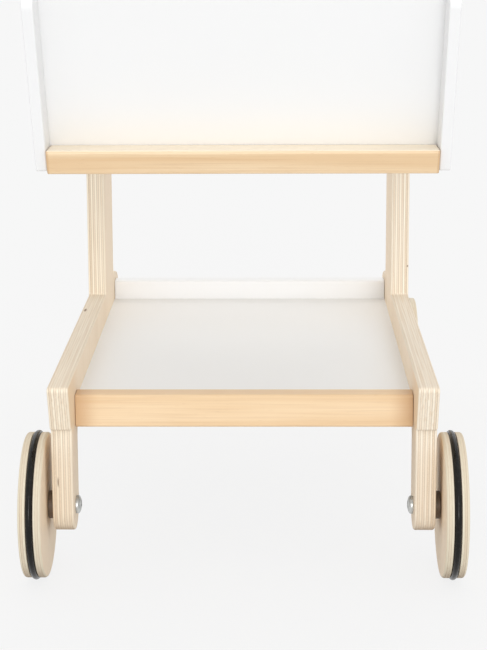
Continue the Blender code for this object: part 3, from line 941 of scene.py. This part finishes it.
MATERIALS = MaterialShelf()
FRAME_BODY = "frame"
WHITE = WhitePaint("white_paint", Slot.PAINT, specular=0.6)
TRAY_WHITE = WhitePaint(
    "tray_paint",
    Slot.PAINT,
    plain=(0.89, 0.89, 0.88),
    shade=(0.86, 0.86, 0.85),
    dullness=0.68,
    specular=0.3,
)
TRAY_WOOD = NaturalWood(
    "tray_rail_wood",
    Slot.WOOD,
    coat=0.15,
    # Darker ends: painted shade where the rail meets the frames.
    ends=in_mm(102.0, 120.0),
    end_share=0.8,
)
BASKET_WOOD = NaturalWood(
    "basket_rail_wood",
    Slot.WOOD,
    coat=0.2,
    coat_roughness=0.2,
    seed=3.7,
    # Darker ends: painted shade where the rail meets the walls.
    ends=in_mm(133.8, 135.4),
    end_share=0.7,
    # Paler top: painted light.
    top_share=0.9,
)
HANDLE_WOOD = NaturalWood("handle_wood", Slot.WOOD, coat=0.15, seed=8.1)
ZINC = ZincPlate("zinc_plate", Slot.ZINC)
# The spacers' brown is painted shade, like the shade in the gap beside them.
NYLON = DarkNylon("dark_nylon", Slot.NYLON)


def new_object(name: str, data: bpy.types.ID) -> bpy.types.Object:
    """Put a new object into the scene.

    Args:
        name: the object's name.
        data: its mesh, lamp or camera.

    Returns:
        The object.
    """
    made = bpy.data.objects.new(name, data)
    bpy.context.scene.collection.objects.link(made)
    return made


def add_piece(
    name: str,
    mesh: bpy.types.Mesh,
    finish: Finish,
    body: str,
    nodes: Sequence[str],
) -> None:
    """Show a fine piece in place of CAD nodes.

    Args:
        name: the piece's name.
        mesh: its mesh, in place.
        finish: its finish.
        body: the CAD body it rides on.
        nodes: the CAD nodes it stands for.
    """
    MATERIALS.dress(mesh, finish)
    piece = new_object(name, mesh)
    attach(piece, body)
    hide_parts(*nodes)
    log.info("%s: %d faces, stands for %s", name, len(mesh.polygons), ", ".join(nodes))


def add_slab(
    prefix: str,
    node: str,
    finish: Finish,
    loops: Sequence[Sequence[RimPoint]],
    rim: float,
) -> None:
    """Show a flat piece of the frame in place of a CAD node.

    Args:
        prefix: the start of the piece's name, before the node's.
        node: the CAD node, which gives the thickness.
        finish: the piece's finish.
        loops: the outline in YZ and then the holes.
        rim: radius of the rounding between the faces and the edges.
    """
    name = f"{prefix}_{node}"
    mesh = slab_mesh(name, loops, node_span(node, 0), rim)
    add_piece(name, mesh, finish, FRAME_BODY, [node])


def dress_node(node: str, finish: Finish) -> None:
    """Give a CAD node that stays in view its finish."""
    MATERIALS.dress(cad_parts[node].data, finish)
    log.info("%s: CAD node with the finish %s", node, finish.name)


# Sub-assemblies

def ply_depth(node: str) -> dict[str, float]:
    """Where the plies of a CAD node start and how thick they are together."""
    low, high = node_span(node, 0)
    return {"inner_x": min(abs(low), abs(high)), "thickness": high - low}


@dataclass
class SideFrames:
    """The two plywood side frames, each one cut shape."""

    arm_top: float = 150.0 * MM
    arm_height: float = 40.0 * MM
    tip_height: float = 34.5 * MM
    tip_round: float = 3.0 * MM
    tip_foot_round: float = 2.0 * MM
    leg_width: float = 36.0 * MM
    leg_setback: float = 5.0 * MM
    leg_front_round: float = 2.0 * MM
    leg_inner_round: float = 12.0 * MM
    shoulder_reach: float = 38.0 * MM
    shoulder_round: float = 34.0 * MM
    upright_width: float = 70.0 * MM
    upright_inner_round: float = 2.0 * MM
    upright_rear_round: float = 14.0 * MM
    edge_round: float = 1.5 * MM
    bolt_hole: float = 3.3 * MM
    screw_hole: float = 2.3 * MM
    screws: tuple[str, ...] = ("tray_front", "tray_rear", "handle")
    # Share of the painted warm bounce light beside the tray's front rail.
    rail_share: float = 0.4
    # The right frame's plies are paler than the left's: painted light, for the stronger light on
    # that side.
    pale: dict[Side, Colour] = field(
        default_factory=lambda: {Side.LEFT: (0.93, 0.84, 0.69), Side.RIGHT: (0.94, 0.865, 0.735)}
    )
    knots: dict[Side, tuple[Knot, ...]] = field(
        default_factory=lambda: {
            Side.LEFT: (
                Knot(in_mm(-133.0, -18.0, 150.0), in_mm(1.5, 7.0, 2.5)),
                Knot(in_mm(-131.6, -234.0, 76.0), in_mm(0.6, 2.0, 5.0)),
            ),
            Side.RIGHT: (Knot(in_mm(135.0, 39.0, 174.7), in_mm(0.9, 2.0, 1.2)),),
        }
    )

    def shape(self) -> list[RimPoint]:
        """Arm with a leaning tip, front leg, raked rear leg and tall upright.

        Returns:
            The outline in YZ.
        """
        half = self.leg_width / 2
        _, front_y, axle_z = node_centre("wheel_front_left")
        rear = node_centre("wheel_rear_left").yz
        arm_tip_y = node_span("side_frame_left", 1)[0]
        head_z = node_span("side_frame_left", 2)[1]
        handle_y = node_centre("handle_bar").y
        upright_front = handle_y - self.upright_width / 2
        upright_rear = handle_y + self.upright_width / 2
        crown = self.upright_width / 2
        shoulder = Vector((upright_rear + self.shoulder_reach, self.arm_top))
        slant = shoulder - rear
        out_angle = math.atan2(slant.y, slant.x) - math.acos(half / slant.length)
        outward = Vector((math.cos(out_angle), math.sin(out_angle)))
        rake = Vector((-outward.y, outward.x))
        arm_bottom = self.arm_top - self.arm_height
        tip_foot_z = self.arm_top - self.tip_height
        front_edge = rear - outward * half
        armpit = front_edge + rake * ((arm_bottom - front_edge.y) / rake.y)
        toe = rear - (outward + rake) * half
        heel = rear + (outward - rake) * half
        leg_front = front_y - half
        leg_back = front_y + half
        return outline(
            [
                Corner(leg_front - self.leg_setback, tip_foot_z, self.tip_foot_round),
                Corner(leg_front, tip_foot_z, self.leg_front_round),
                Corner(leg_front, axle_z - half, half),
                Corner(leg_back, axle_z - half, half),
                Corner(leg_back, arm_bottom, self.leg_inner_round),
                Corner(*armpit, self.leg_inner_round),
                Corner(*toe, half),
                Corner(*heel, half),
                Corner(*shoulder, self.shoulder_round),
                Corner(upright_rear, self.arm_top, self.upright_rear_round),
                Corner(upright_rear, head_z, crown),
                Corner(upright_front, head_z, crown),
                Corner(upright_front, self.arm_top, self.upright_inner_round),
                Corner(arm_tip_y, self.arm_top, self.tip_round),
            ]
        )

    def holes(self, side: Side) -> list[list[RimPoint]]:
        """Rims of the axle and screw holes of one side.

        Args:
            side: the side of the cart.

        Returns:
            One rim for each hole.
        """
        wheels = [f"wheel_{axle.value}_{side.label}" for axle in Axle]
        screws = [f"screw_{screw}_{side.label}" for screw in self.screws]
        rims = [round_hole(node, self.bolt_hole) for node in wheels]
        return rims + [round_hole(node, self.screw_hole) for node in screws]

    def build(self) -> None:
        """Make both frames and dress them."""
        for side in Side:
            node = f"side_frame_{side.label}"
            finish = BirchPly(
                f"frame_ply_{side.label}",
                Slot.PLY,
                **ply_depth(node),
                pale=self.pale[side],
                knots=self.knots[side],
                rail_share=self.rail_share,
            )
            loops = [self.shape(), *self.holes(side)]
            add_slab("ply", node, finish, loops, self.edge_round)


def cut_back(lean: float, radius: float) -> float:
    """How far along Y the rounding of a leaning edge keeps it from its sharp corner."""
    return radius * (1 / math.cos(lean) + math.tan(lean) - 1)


def section(
    node: str,
    radius: float,
    front_lean: float = 0.0,
    rear_lean: float = 0.0,
    foot_round: Optional[float] = None,
) -> list[RimPoint]:
    """A section from a CAD box, with flat top and bottom and faces that may lean forward.

    Args:
        node: the CAD node.
        radius: rounding of its edges.
        front_lean: how far its front leans from upright.
        rear_lean: how far its rear leans from upright.
        foot_round: rounding of the lower front edge, where it is another.

    Returns:
        The outline in YZ.
    """
    front, rear = node_span(node, 1)
    low, high = node_span(node, 2)
    front -= cut_back(front_lean, radius)
    rear += cut_back(rear_lean, radius)
    front_foot = front + (high - low) * math.tan(front_lean)
    rear_head = rear - (high - low) * math.tan(rear_lean)
    return outline(
        [
            Corner(front_foot, low, radius if foot_round is None else foot_round),
            Corner(rear, low, radius),
            Corner(rear_head, high, radius),
            Corner(front, high, radius),
        ]
    )


@dataclass
class Tray:
    """The lower tray: natural front rail, white rear rail and white floor."""

    rail_round: float = 1.8 * MM
    end_round: float = 0.4 * MM

    def build(self) -> None:
        """Make the rails and dress the floor."""
        for node, finish in (("tray_front_rail", TRAY_WOOD), ("tray_rear_rail", WHITE)):
            add_slab("fine", node, finish, [section(node, self.rail_round)], self.end_round)
        dress_node("tray_floor", TRAY_WHITE)


@dataclass
class Basket:
    """The upper basket: two side walls, front rail, two panels and a floor."""

    lean: float = math.radians(25.0)
    wall_round: float = 12.0 * MM
    wall_foot_round: float = 3.0 * MM
    wall_rim: float = 1.0 * MM
    rail_round: float = 2.0 * MM
    rail_end_round: float = 0.9 * MM
    panel_round: float = 1.0 * MM
    panel_end_round: float = 0.5 * MM
    screw_hole: float = 4.8 * MM
    screws: tuple[str, ...] = ("basket_rail", "wall_low", "wall_high")

    def build(self) -> None:
        """Make the walls, rail and panels, and dress the floor."""
        for side in Side:
            node = f"basket_side_{side.label}"
            screws = [f"screw_{screw}_{side.label}" for screw in self.screws]
            holes = [round_hole(screw, self.screw_hole) for screw in screws]
            shape = section(node, self.wall_round, self.lean, foot_round=self.wall_foot_round)
            add_slab("fine", node, WHITE, [shape, *holes], self.wall_rim)
        for node, finish, lean, radius, end in (
            ("basket_front_rail", BASKET_WOOD, self.lean, self.rail_round, self.rail_end_round),
            ("basket_front_panel", WHITE, self.lean, self.panel_round, self.panel_end_round),
            ("basket_rear_panel", WHITE, 0.0, self.panel_round, self.panel_end_round),
        ):
            add_slab("fine", node, finish, [section(node, radius, lean, lean)], end)
        dress_node("basket_floor", WHITE)


@dataclass
class TurnedPiece:
    """A turned bar or ring along X, fixed to the frame."""

    node: str
    prefix: str
    finish: Finish
    edge_round: float
    segments: int
    bore: float = 0.0
    bore_round: float = 0.0

    def build(self) -> None:
        """Make the piece and dress it."""
        name = f"{self.prefix}_{self.node}"
        half, _, radius = node_half(self.node)
        corners = [
            Corner(self.bore, -half, self.bore_round),
            Corner(radius, -half, self.edge_round),
            Corner(radius, half, self.edge_round),
            Corner(self.bore, half, self.bore_round),
        ]
        place = pointing(node_centre(self.node), 1)
        mesh = turned_mesh(name, outline(corners), place, self.segments)
        add_piece(name, mesh, self.finish, FRAME_BODY, [self.node])


@dataclass
class PushHandle(TurnedPiece):
    """The round push bar between the uprights."""

    node: str = "handle_bar"
    prefix: str = "fine"
    finish: Finish = HANDLE_WOOD
    edge_round: float = 1.0 * MM
    segments: int = 72


@dataclass
class WheelSpacer(TurnedPiece):
    """The ring that keeps a wheel off its leg."""

    prefix: str = "nylon"
    finish: Finish = NYLON
    edge_round: float = 0.4 * MM
    segments: int = 48
    bore: float = 5.3 * MM
    bore_round: float = 0.4 * MM


@dataclass
class RollingWheel:
    """One plywood wheel with a rubber ring in its groove."""

    axle: Axle
    side: Side
    tyre_proud: float = 1.5 * MM
    edge_round: float = 2.0 * MM
    bore: float = 5.4 * MM
    bore_round: float = 0.4 * MM
    groove_gap: float = 0.3 * MM
    groove_roundness: float = 0.99
    lip_round: float = 0.35 * MM
    rim_pale: Colour = (0.76, 0.70, 0.55)
    rim_warm: Colour = (0.68, 0.58, 0.44)
    segments: int = 144
    cord_segments: int = 24

    @property
    def corner(self) -> str:
        """The wheel's place inside node names."""
        return f"{self.axle.value}_{self.side.label}"

    @property
    def body(self) -> str:
        """The CAD body that the wheel is."""
        return f"{self.corner}_wheel"

    def build_wheel(self) -> None:
        """Make the wooden wheel and dress it."""
        node = f"wheel_{self.corner}"
        half = node_half(node)[0]
        cord, _, outer = node_half(f"tyre_{self.corner}")
        groove = cord + self.groove_gap
        groove_round = groove * self.groove_roundness
        root = outer - cord - groove
        rim = outer - self.tyre_proud
        corners = [
            Corner(self.bore, -half, self.bore_round),
            Corner(rim, -half, self.edge_round),
            Corner(rim, -groove, self.lip_round),
            Corner(root, -groove, groove_round),
            Corner(root, groove, groove_round),
            Corner(rim, groove, self.lip_round),
            Corner(rim, half, self.edge_round),
            Corner(self.bore, half, self.bore_round),
        ]
        place = pointing(node_centre(node), self.side.value)
        mesh = turned_mesh(f"ply_{node}", outline(corners), place, self.segments)
        finish = BirchPly(
            "wheel_ply",
            Slot.PLY,
            **ply_depth(node),
            pale=self.rim_pale,
            warm=self.rim_warm,
            foot_share=0.0,
        )
        add_piece(f"ply_{node}", mesh, finish, self.body, [node])

    def build_tyre(self) -> None:
        """Make the rubber ring with Geometry Nodes and dress it."""
        node = f"tyre_{self.corner}"
        centre = node_centre(node)
        cord, _, outer = node_half(node)
        finish = BlackRubber(
            f"rubber_{self.corner}",
            Slot.RUBBER,
            hub=tuple(centre.yz),
            tread_radius=outer,
        )
        sizes = {
            "Ring Radius": outer - cord,
            "Cord Radius": cord,
            "Ring Segments": self.segments,
            "Cord Segments": self.cord_segments,
            "Finish": MATERIALS.get(finish),
        }
        seed = bpy.data.meshes.new("ring_seed")
        mesh = grown_mesh(f"rubber_{node}", seed, RING_TREE, sizes)
        mesh.transform(pointing(centre, self.side.value))
        add_piece(f"rubber_{node}", mesh, finish, self.body, [node])

    def build(self) -> None:
        """Make the wheel and its ring."""
        self.build_wheel()
        self.build_tyre()


# Geometry Nodes

class TreeMaker:
    """Starts a Geometry Nodes tree with named inputs."""

    def __init__(self, name: str, inputs: Mapping[str, str]) -> None:
        """Make the tree, its input sockets and its output.

        Args:
            name: the tree's name.
            inputs: socket types by name.
        """
        self.tree = bpy.data.node_groups.new(name, "GeometryNodeTree")
        self.sheet = NodeSheet(self.tree)
        panel = self.tree.interface
        panel.new_socket("Geometry", in_out="INPUT", socket_type="NodeSocketGeometry")
        for label, kind in inputs.items():
            panel.new_socket(label, in_out="INPUT", socket_type=kind)
        panel.new_socket("Geometry", in_out="OUTPUT", socket_type="NodeSocketGeometry")
        start = self.sheet.node("NodeGroupInput", {}, {})
        self.inputs = {name: start.beside(name) for name in ("Geometry", *inputs)}

    def close(self, geometry: Socket) -> bpy.types.NodeTree:
        """End the tree: real faces, smooth shading and the finish.

        Args:
            geometry: what the tree has made.

        Returns:
            The finished tree.
        """
        solid = self.sheet.node("GeometryNodeRealizeInstances", {}, {"Geometry": geometry})
        smooth = self.sheet.node("GeometryNodeSetShadeSmooth", {}, {"Geometry": solid})
        dressed = {"Geometry": smooth, "Material": self.inputs["Finish"]}
        out = self.sheet.node("GeometryNodeSetMaterial", {}, dressed)
        self.sheet.node("NodeGroupOutput", {}, {"Geometry": out})
        return self.tree


def ring_tree() -> bpy.types.NodeTree:
    """A tree that makes a rubber ring: a circle swept by a round cord.

    Returns:
        The tree.
    """
    number, count = "NodeSocketFloat", "NodeSocketInt"
    kinds = {"Ring Radius": number, "Cord Radius": number}
    kinds |= {"Ring Segments": count, "Cord Segments": count, "Finish": "NodeSocketMaterial"}
    maker = TreeMaker("rubber_ring", kinds)
    sheet, given = maker.sheet, maker.inputs
    circles = []
    for label in ("Ring", "Cord"):
        inputs = {"Resolution": given[f"{label} Segments"], "Radius": given[f"{label} Radius"]}
        circles.append(sheet.node("GeometryNodeCurvePrimitiveCircle", {}, inputs))
    sweep = {"Curve": circles[0], "Profile Curve": circles[1]}
    return maker.close(sheet.node("GeometryNodeCurveToMesh", {}, sweep))


def head_tree() -> bpy.types.NodeTree:
    """A tree that puts a domed fastener on each point, with a cross recess if it has a depth.

    Returns:
        The tree.
    """
    number = "NodeSocketFloat"
    sizes = ("Head Radius", "Head Height", "Edge Height", "Shank Radius", "Shank Length")
    recess = ("Recess Span", "Recess Width", "Recess Depth")
    kinds = {name: number for name in (*sizes, *recess)} | {"Segments": "NodeSocketInt"}
    maker = TreeMaker("domed_fasteners", kinds | {"Finish": "NodeSocketMaterial"})
    sheet, given = maker.sheet, maker.inputs
    radius, height, edge = (given[name] for name in sizes[:3])
    span, width, depth = (given[name] for name in recess)

    def vector(x: Number, y: Number, z: Number) -> Socket:
        """Three numbers as a vector."""
        return sheet.node("ShaderNodeCombineXYZ", {}, {0: x, 1: y, 2: z})

    def raised(geometry: Socket, lift: Number, scale: Any = EVEN) -> Socket:
        """Geometry scaled and then lifted."""
        inputs = {"Geometry": geometry, "Translation": vector(0.0, 0.0, lift), "Scale": scale}
        return sheet.node("GeometryNodeTransform", {}, inputs)

    def joined(*pieces: Socket) -> Socket:
        """Pieces of geometry as one."""
        return sheet.node("GeometryNodeJoinGeometry", {}, {"Geometry": list(pieces)})

    def attribute(name: str, kind: str) -> Socket:
        """A value kept with each point."""
        return sheet.node("GeometryNodeInputNamedAttribute", {"data_type": kind}, {"Name": name})

    sphere = {"Segments": given["Segments"], "Rings": DOME_RINGS, "Radius": 1.0}
    ball = sheet.node("GeometryNodeMeshUVSphere", {}, sphere)
    where = sheet.node("GeometryNodeInputPosition", {}, {})
    lower = {"Geometry": ball, "Selection": where.parts()[2] < DOME_CUT}
    dome = sheet.node("GeometryNodeDeleteGeometry", {}, lower)
    crown = raised(dome, edge, vector(radius, radius, height - edge))
    tube = {"Vertices": given["Segments"], "Radius": radius, "Depth": edge}
    skirt = sheet.node("GeometryNodeMeshCylinder", {"fill_type": "NONE"}, tube)
    disc = {"Vertices": given["Segments"], "Radius": radius}
    seat = sheet.node("GeometryNodeMeshCircle", {"fill_type": "NGON"}, disc)
    seat = sheet.node("GeometryNodeFlipFaces", {}, {"Mesh": seat})
    loose = {"Geometry": joined(crown, raised(skirt, edge / 2.0), seat), "Distance": WELD}
    head = sheet.node("GeometryNodeMergeByDistance", {}, loose)
    slots = []
    for along, over in ((span, width), (width, span)):
        bar = sheet.node("GeometryNodeMeshCube", {}, {"Size": vector(along, over, depth * 2.0)})
        slots.append(raised(bar, height))
    solids = {"Mesh 1": head, "Mesh 2": slots}
    cut = sheet.node("GeometryNodeMeshBoolean", {"operation": "DIFFERENCE"}, solids)
    driven = sheet.node("FunctionNodeCompare", {"operation": "GREATER_THAN"}, {0: depth, 1: 0.0})
    choice = {"Switch": driven, "False": head, "True": cut}
    head = sheet.node("GeometryNodeSwitch", {"input_type": "GEOMETRY"}, choice)
    length = given["Shank Length"]
    rod = {"Vertices": given["Segments"], "Radius": given["Shank Radius"], "Depth": length}
    shank = raised(sheet.node("GeometryNodeMeshCylinder", {}, rod), length / -2.0)
    outward = {"Vector": attribute("outward", "FLOAT_VECTOR")}
    facing = sheet.node("FunctionNodeAlignRotationToVector", {"axis": "Z"}, outward)
    turn = {"Axis": (0.0, 0.0, 1.0), "Angle": attribute("turn", "FLOAT")}
    roll = sheet.node("FunctionNodeAxisAngleToRotation", {}, turn)
    turns = {"Rotation": facing, "Rotate By": roll}
    rolled = sheet.node("FunctionNodeRotateRotation", {"rotation_space": "LOCAL"}, turns)
    placed = {"Points": given["Geometry"], "Instance": joined(head, shank), "Rotation": rolled}
    return maker.close(sheet.node("GeometryNodeInstanceOnPoints", {}, placed))


def grown_mesh(
    name: str,
    seed: bpy.types.Mesh,
    tree: bpy.types.NodeTree,
    sizes: Mapping[str, Any],
) -> bpy.types.Mesh:
    """Run a tree on a seed mesh.

    Args:
        name: the new mesh's name.
        seed: what the tree starts from.
        tree: the tree.
        sizes: values by input name.

    Returns:
        The result as a plain mesh.
    """
    holder = new_object(name + "_seed", seed)
    modifier = holder.modifiers.new("grow", "NODES")
    modifier.node_group = tree
    for item in tree.interface.items_tree:
        if item.in_out == "INPUT" and item.name in sizes:
            modifier[item.identifier] = sizes[item.name]
    evaluated = holder.evaluated_get(bpy.context.evaluated_depsgraph_get())
    mesh = bpy.data.meshes.new_from_object(evaluated)
    mesh.name = name
    bpy.data.objects.remove(holder)
    bpy.data.meshes.remove(seed)
    return mesh


RING_TREE = ring_tree()
HEAD_TREE = head_tree()


@dataclass
class Fasteners:
    """A set of like domed fasteners, one for each of its CAD nodes."""

    name: str
    nodes: Sequence[str]
    inward: bool
    head_radius: float
    head_height: float
    shank_radius: float
    recess_span: float = 0.0
    recess_width: float = 1.0 * MM
    recess_depth: float = 0.0
    edge_share: float = 0.35
    segments: int = 40
    sharp: float = math.radians(40.0)
    turn_step: float = 1.1

    def seeds(self) -> bpy.types.Mesh:
        """Points under the heads, with their directions.

        Returns:
            A mesh of loose points.
        """
        mesh = bpy.data.meshes.new(self.name + "_points")
        seats = []
        ways = []
        for node in self.nodes:
            low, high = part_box(node)
            centre = (low + high) / 2
            sign = math.copysign(1.0, centre.x) * (-1.0 if self.inward else 1.0)
            crown_x = high.x if sign > 0 else low.x
            seats.append((crown_x - sign * self.head_height, centre.y, centre.z))
            ways.append((sign, 0.0, 0.0))
        mesh.from_pydata(seats, [], [])
        mesh.attributes.new("outward", "FLOAT_VECTOR", "POINT")
        mesh.attributes.new("turn", "FLOAT", "POINT")
        for index, way in enumerate(ways):
            mesh.attributes["outward"].data[index].vector = way
            mesh.attributes["turn"].data[index].value = self.turn_step * index
        return mesh

    def build(self) -> None:
        """Make the set as one piece and dress it. Inputs of the tree are named as the fields."""
        low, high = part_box(self.nodes[0])
        sizes = {
            item.name.replace("_", " ").title(): getattr(self, item.name) for item in fields(self)
        }
        sizes["Edge Height"] = self.head_height * self.edge_share
        sizes["Shank Length"] = high.x - low.x - self.head_height
        sizes["Finish"] = MATERIALS.get(ZINC)
        mesh = grown_mesh(self.name, self.seeds(), HEAD_TREE, sizes)
        mesh.set_sharp_from_angle(angle=self.sharp)
        add_piece(self.name, mesh, ZINC, FRAME_BODY, self.nodes)


# Studio

@dataclass(frozen=True)
class StudioSun:
    """A soft directional lamp, by where it comes from."""

    name: str
    azimuth: float
    elevation: float
    level: float
    width: float

    @property
    def upward(self) -> float:
        """The share of white that it gives the floor."""
        return self.level * math.sin(math.radians(self.elevation))

    def build(self) -> None:
        """Make the lamp. Its level is the share of white that it gives a face turned to it."""
        lamp = bpy.data.lights.new(self.name, "SUN")
        lamp.energy = self.level * math.pi
        lamp.angle = math.radians(self.width)
        holder = new_object(self.name, lamp)
        side = math.radians(self.azimuth)
        rise = math.radians(self.elevation)
        level = Vector((math.sin(side), -math.cos(side), 0.0))
        towards = level * math.cos(rise) + Vector((0.0, 0.0, math.sin(rise)))
        holder.rotation_euler = towards.to_track_quat("Z", "Y").to_euler()
        log.info("lamp %s", self.name)


@dataclass(frozen=True)
class StudioCamera:
    """The camera, at the photograph's angle."""

    place: Axes = (0.0199, -1.4317, 0.4845)
    pitch: float = math.radians(10.562)
    yaw: float = math.radians(0.924)
    roll: float = math.radians(-0.250)
    focal_pixels: float = 1770.8
    shift_pixels: float = -100.0

    def build(self) -> None:
        """Make the camera and use it."""
        right = Vector((math.cos(self.yaw), math.sin(self.yaw), 0.0))
        level = Vector((-math.sin(self.yaw), math.cos(self.yaw), 0.0))
        ahead = level * math.cos(self.pitch) - Vector((0.0, 0.0, math.sin(self.pitch)))
        up = right.cross(ahead)
        turned_right = right * math.cos(self.roll) + up * math.sin(self.roll)
        turned_up = up * math.cos(self.roll) - right * math.sin(self.roll)
        lens = bpy.data.cameras.new("photo_camera")
        lens.sensor_width = SENSOR
        lens.lens = self.focal_pixels * SENSOR / max(IMAGE_SIZE)
        lens.shift_y = self.shift_pixels / max(IMAGE_SIZE)
        camera = new_object("photo_camera", lens)
        axes = Matrix((turned_right, turned_up, -ahead)).transposed().to_4x4()
        camera.matrix_world = Matrix.Translation(self.place) @ axes
        bpy.context.scene.camera = camera
        log.info("camera with a %.1f mm lens", lens.lens)


@dataclass(frozen=True)
class Studio:
    """White floor, even light from all round and soft lamps."""

    background: Colour = (0.930, 0.930, 0.930)
    even_level: float = 0.90
    floor_size: float = 60.0
    floor_white: float = 0.70
    shadow_share: float = 0.10
    lamps: tuple[StudioSun, ...] = (
        StudioSun("low_front_lamp", azimuth=2.0, elevation=4.0, level=0.26, width=14.0),
        StudioSun("high_front_lamp", azimuth=6.0, elevation=22.0, level=0.12, width=20.0),
        StudioSun("key_lamp", azimuth=45.0, elevation=55.0, level=0.06, width=60.0),
        StudioSun("back_lamp", azimuth=178.0, elevation=45.0, level=0.13, width=50.0),
    )

    @staticmethod
    def seen(sheet: NodeSheet) -> Socket:
        """A mask of what is seen straight, in a mirror or through glass.

        Args:
            sheet: where nodes are added.

        Returns:
            One for such rays, else zero.
        """
        camera = sheet.node("ShaderNodeLightPath", {}, {}, "Is Camera Ray")
        mirror = camera.math("MAXIMUM", camera, camera.beside("Is Glossy Ray"))
        return camera.math("MAXIMUM", mirror, camera.beside("Is Transmission Ray"))

    def build_world(self) -> None:
        """Even light, and the background's white where it is seen."""
        world = bpy.data.worlds.new("studio")
        world.use_nodes = True
        bpy.context.scene.world = world
        sheet = NodeSheet(world.node_tree)
        white = {"Color": (1.0, 1.0, 1.0, 1.0), "Strength": self.even_level}
        light = sheet.node("ShaderNodeBackground", {}, white)
        seen = {"Color": (*self.background, 1.0), "Strength": 1.0}
        shown = sheet.node("ShaderNodeBackground", {}, seen)
        mixed = sheet.node("ShaderNodeMixShader", {}, {0: self.seen(sheet), 1: light, 2: shown})
        sheet.feed(sheet.tree.nodes["World Output"], {"Surface": mixed})

    def build_floor(self) -> None:
        """A floor as white as the background that keeps the cart's shadow."""
        mesh = bpy.data.meshes.new("studio_floor")
        reach = self.floor_size / 2
        signs = ((-1, -1), (1, -1), (1, 1), (-1, 1))
        places = [(reach * x, reach * y, 0.0) for x, y in signs]
        mesh.from_pydata(places, [], [(0, 1, 2, 3)])
        floor = new_object("studio_floor", mesh)
        material = bpy.data.materials.new("studio_floor")
        material.use_nodes = True
        sheet = NodeSheet(material.node_tree)
        upward = self.even_level + sum(lamp.upward for lamp in self.lamps)
        shaded = tuple(c * self.shadow_share / upward for c in self.background)
        glow = tuple(c * (1 - self.shadow_share) for c in self.background)
        card = sheet.node("ShaderNodeBsdfDiffuse", {}, {"Color": (*shaded, 1.0)})
        lit = sheet.node("ShaderNodeEmission", {}, {"Color": (*glow, 1.0), "Strength": 1.0})
        shown = sheet.node("ShaderNodeAddShader", {}, {0: card, 1: lit})
        plain = (self.floor_white,) * 3
        bounce = sheet.node("ShaderNodeBsdfDiffuse", {}, {"Color": (*plain, 1.0)})
        mixed = sheet.node("ShaderNodeMixShader", {}, {0: self.seen(sheet), 1: bounce, 2: shown})
        sheet.feed(sheet.tree.nodes["Material Output"], {"Surface": mixed})
        mesh.materials.append(material)
        log.info("floor and world")

    def build(self) -> None:
        """Make the world, floor, lamps and camera."""
        bpy.context.scene.view_settings.view_transform = "Standard"
        self.build_world()
        self.build_floor()
        for lamp in self.lamps:
            lamp.build()
        StudioCamera().build()


def fastener_sets() -> list[Fasteners]:
    """The bolts, sleeve nuts and wood screws of the cart.

    Returns:
        One set for each kind.
    """
    corners = [f"{axle.value}_{side.label}" for axle in Axle for side in Side]
    bolt = {
        "inward": True,
        "head_radius": 6.5 * MM,
        "head_height": 3.8 * MM,
        "shank_radius": 3.0 * MM,
        "recess_span": 6.4 * MM,
        "recess_width": 1.5 * MM,
        "recess_depth": 2.0 * MM,
    }
    sleeve = {
        "inward": False,
        "head_radius": 11.0 * MM,
        "head_height": 3.2 * MM,
        "shank_radius": 5.0 * MM,
    }
    screw = {
        "inward": False,
        "head_radius": 4.2 * MM,
        "head_height": 2.4 * MM,
        "shank_radius": 2.0 * MM,
        "recess_span": 4.2 * MM,
        "recess_width": 1.0 * MM,
        "recess_depth": 1.3 * MM,
    }

    def screws(labels: Sequence[str]) -> list[str]:
        """Screw nodes of both sides by their labels."""
        return [f"screw_{label}_{side.label}" for label in labels for side in Side]

    long_screws = screws(("tray_front", "tray_rear", "handle", "basket_rail"))
    short_screws = screws(("wall_low", "wall_high"))
    return [
        Fasteners("axle_bolts", [f"axle_bolt_{c}" for c in corners], **bolt),
        Fasteners("axle_sleeves", [f"axle_sleeve_{c}" for c in corners], **sleeve),
        Fasteners("long_wood_screws", long_screws, **screw),
        Fasteners("wall_wood_screws", short_screws, **screw),
    ]


def main() -> None:
    """Build the cart's pieces in order, then the studio."""
    logging.basicConfig(level=logging.INFO, format="%(name)s: %(message)s")
    SideFrames().build()
    Tray().build()
    Basket().build()
    PushHandle().build()
    for axle in Axle:
        for side in Side:
            RollingWheel(axle, side).build()
            WheelSpacer(f"wheel_spacer_{axle.value}_{side.label}").build()
    for fasteners in fastener_sets():
        fasteners.build()
    Studio().build()


if __name__ == "__main__":
    main()
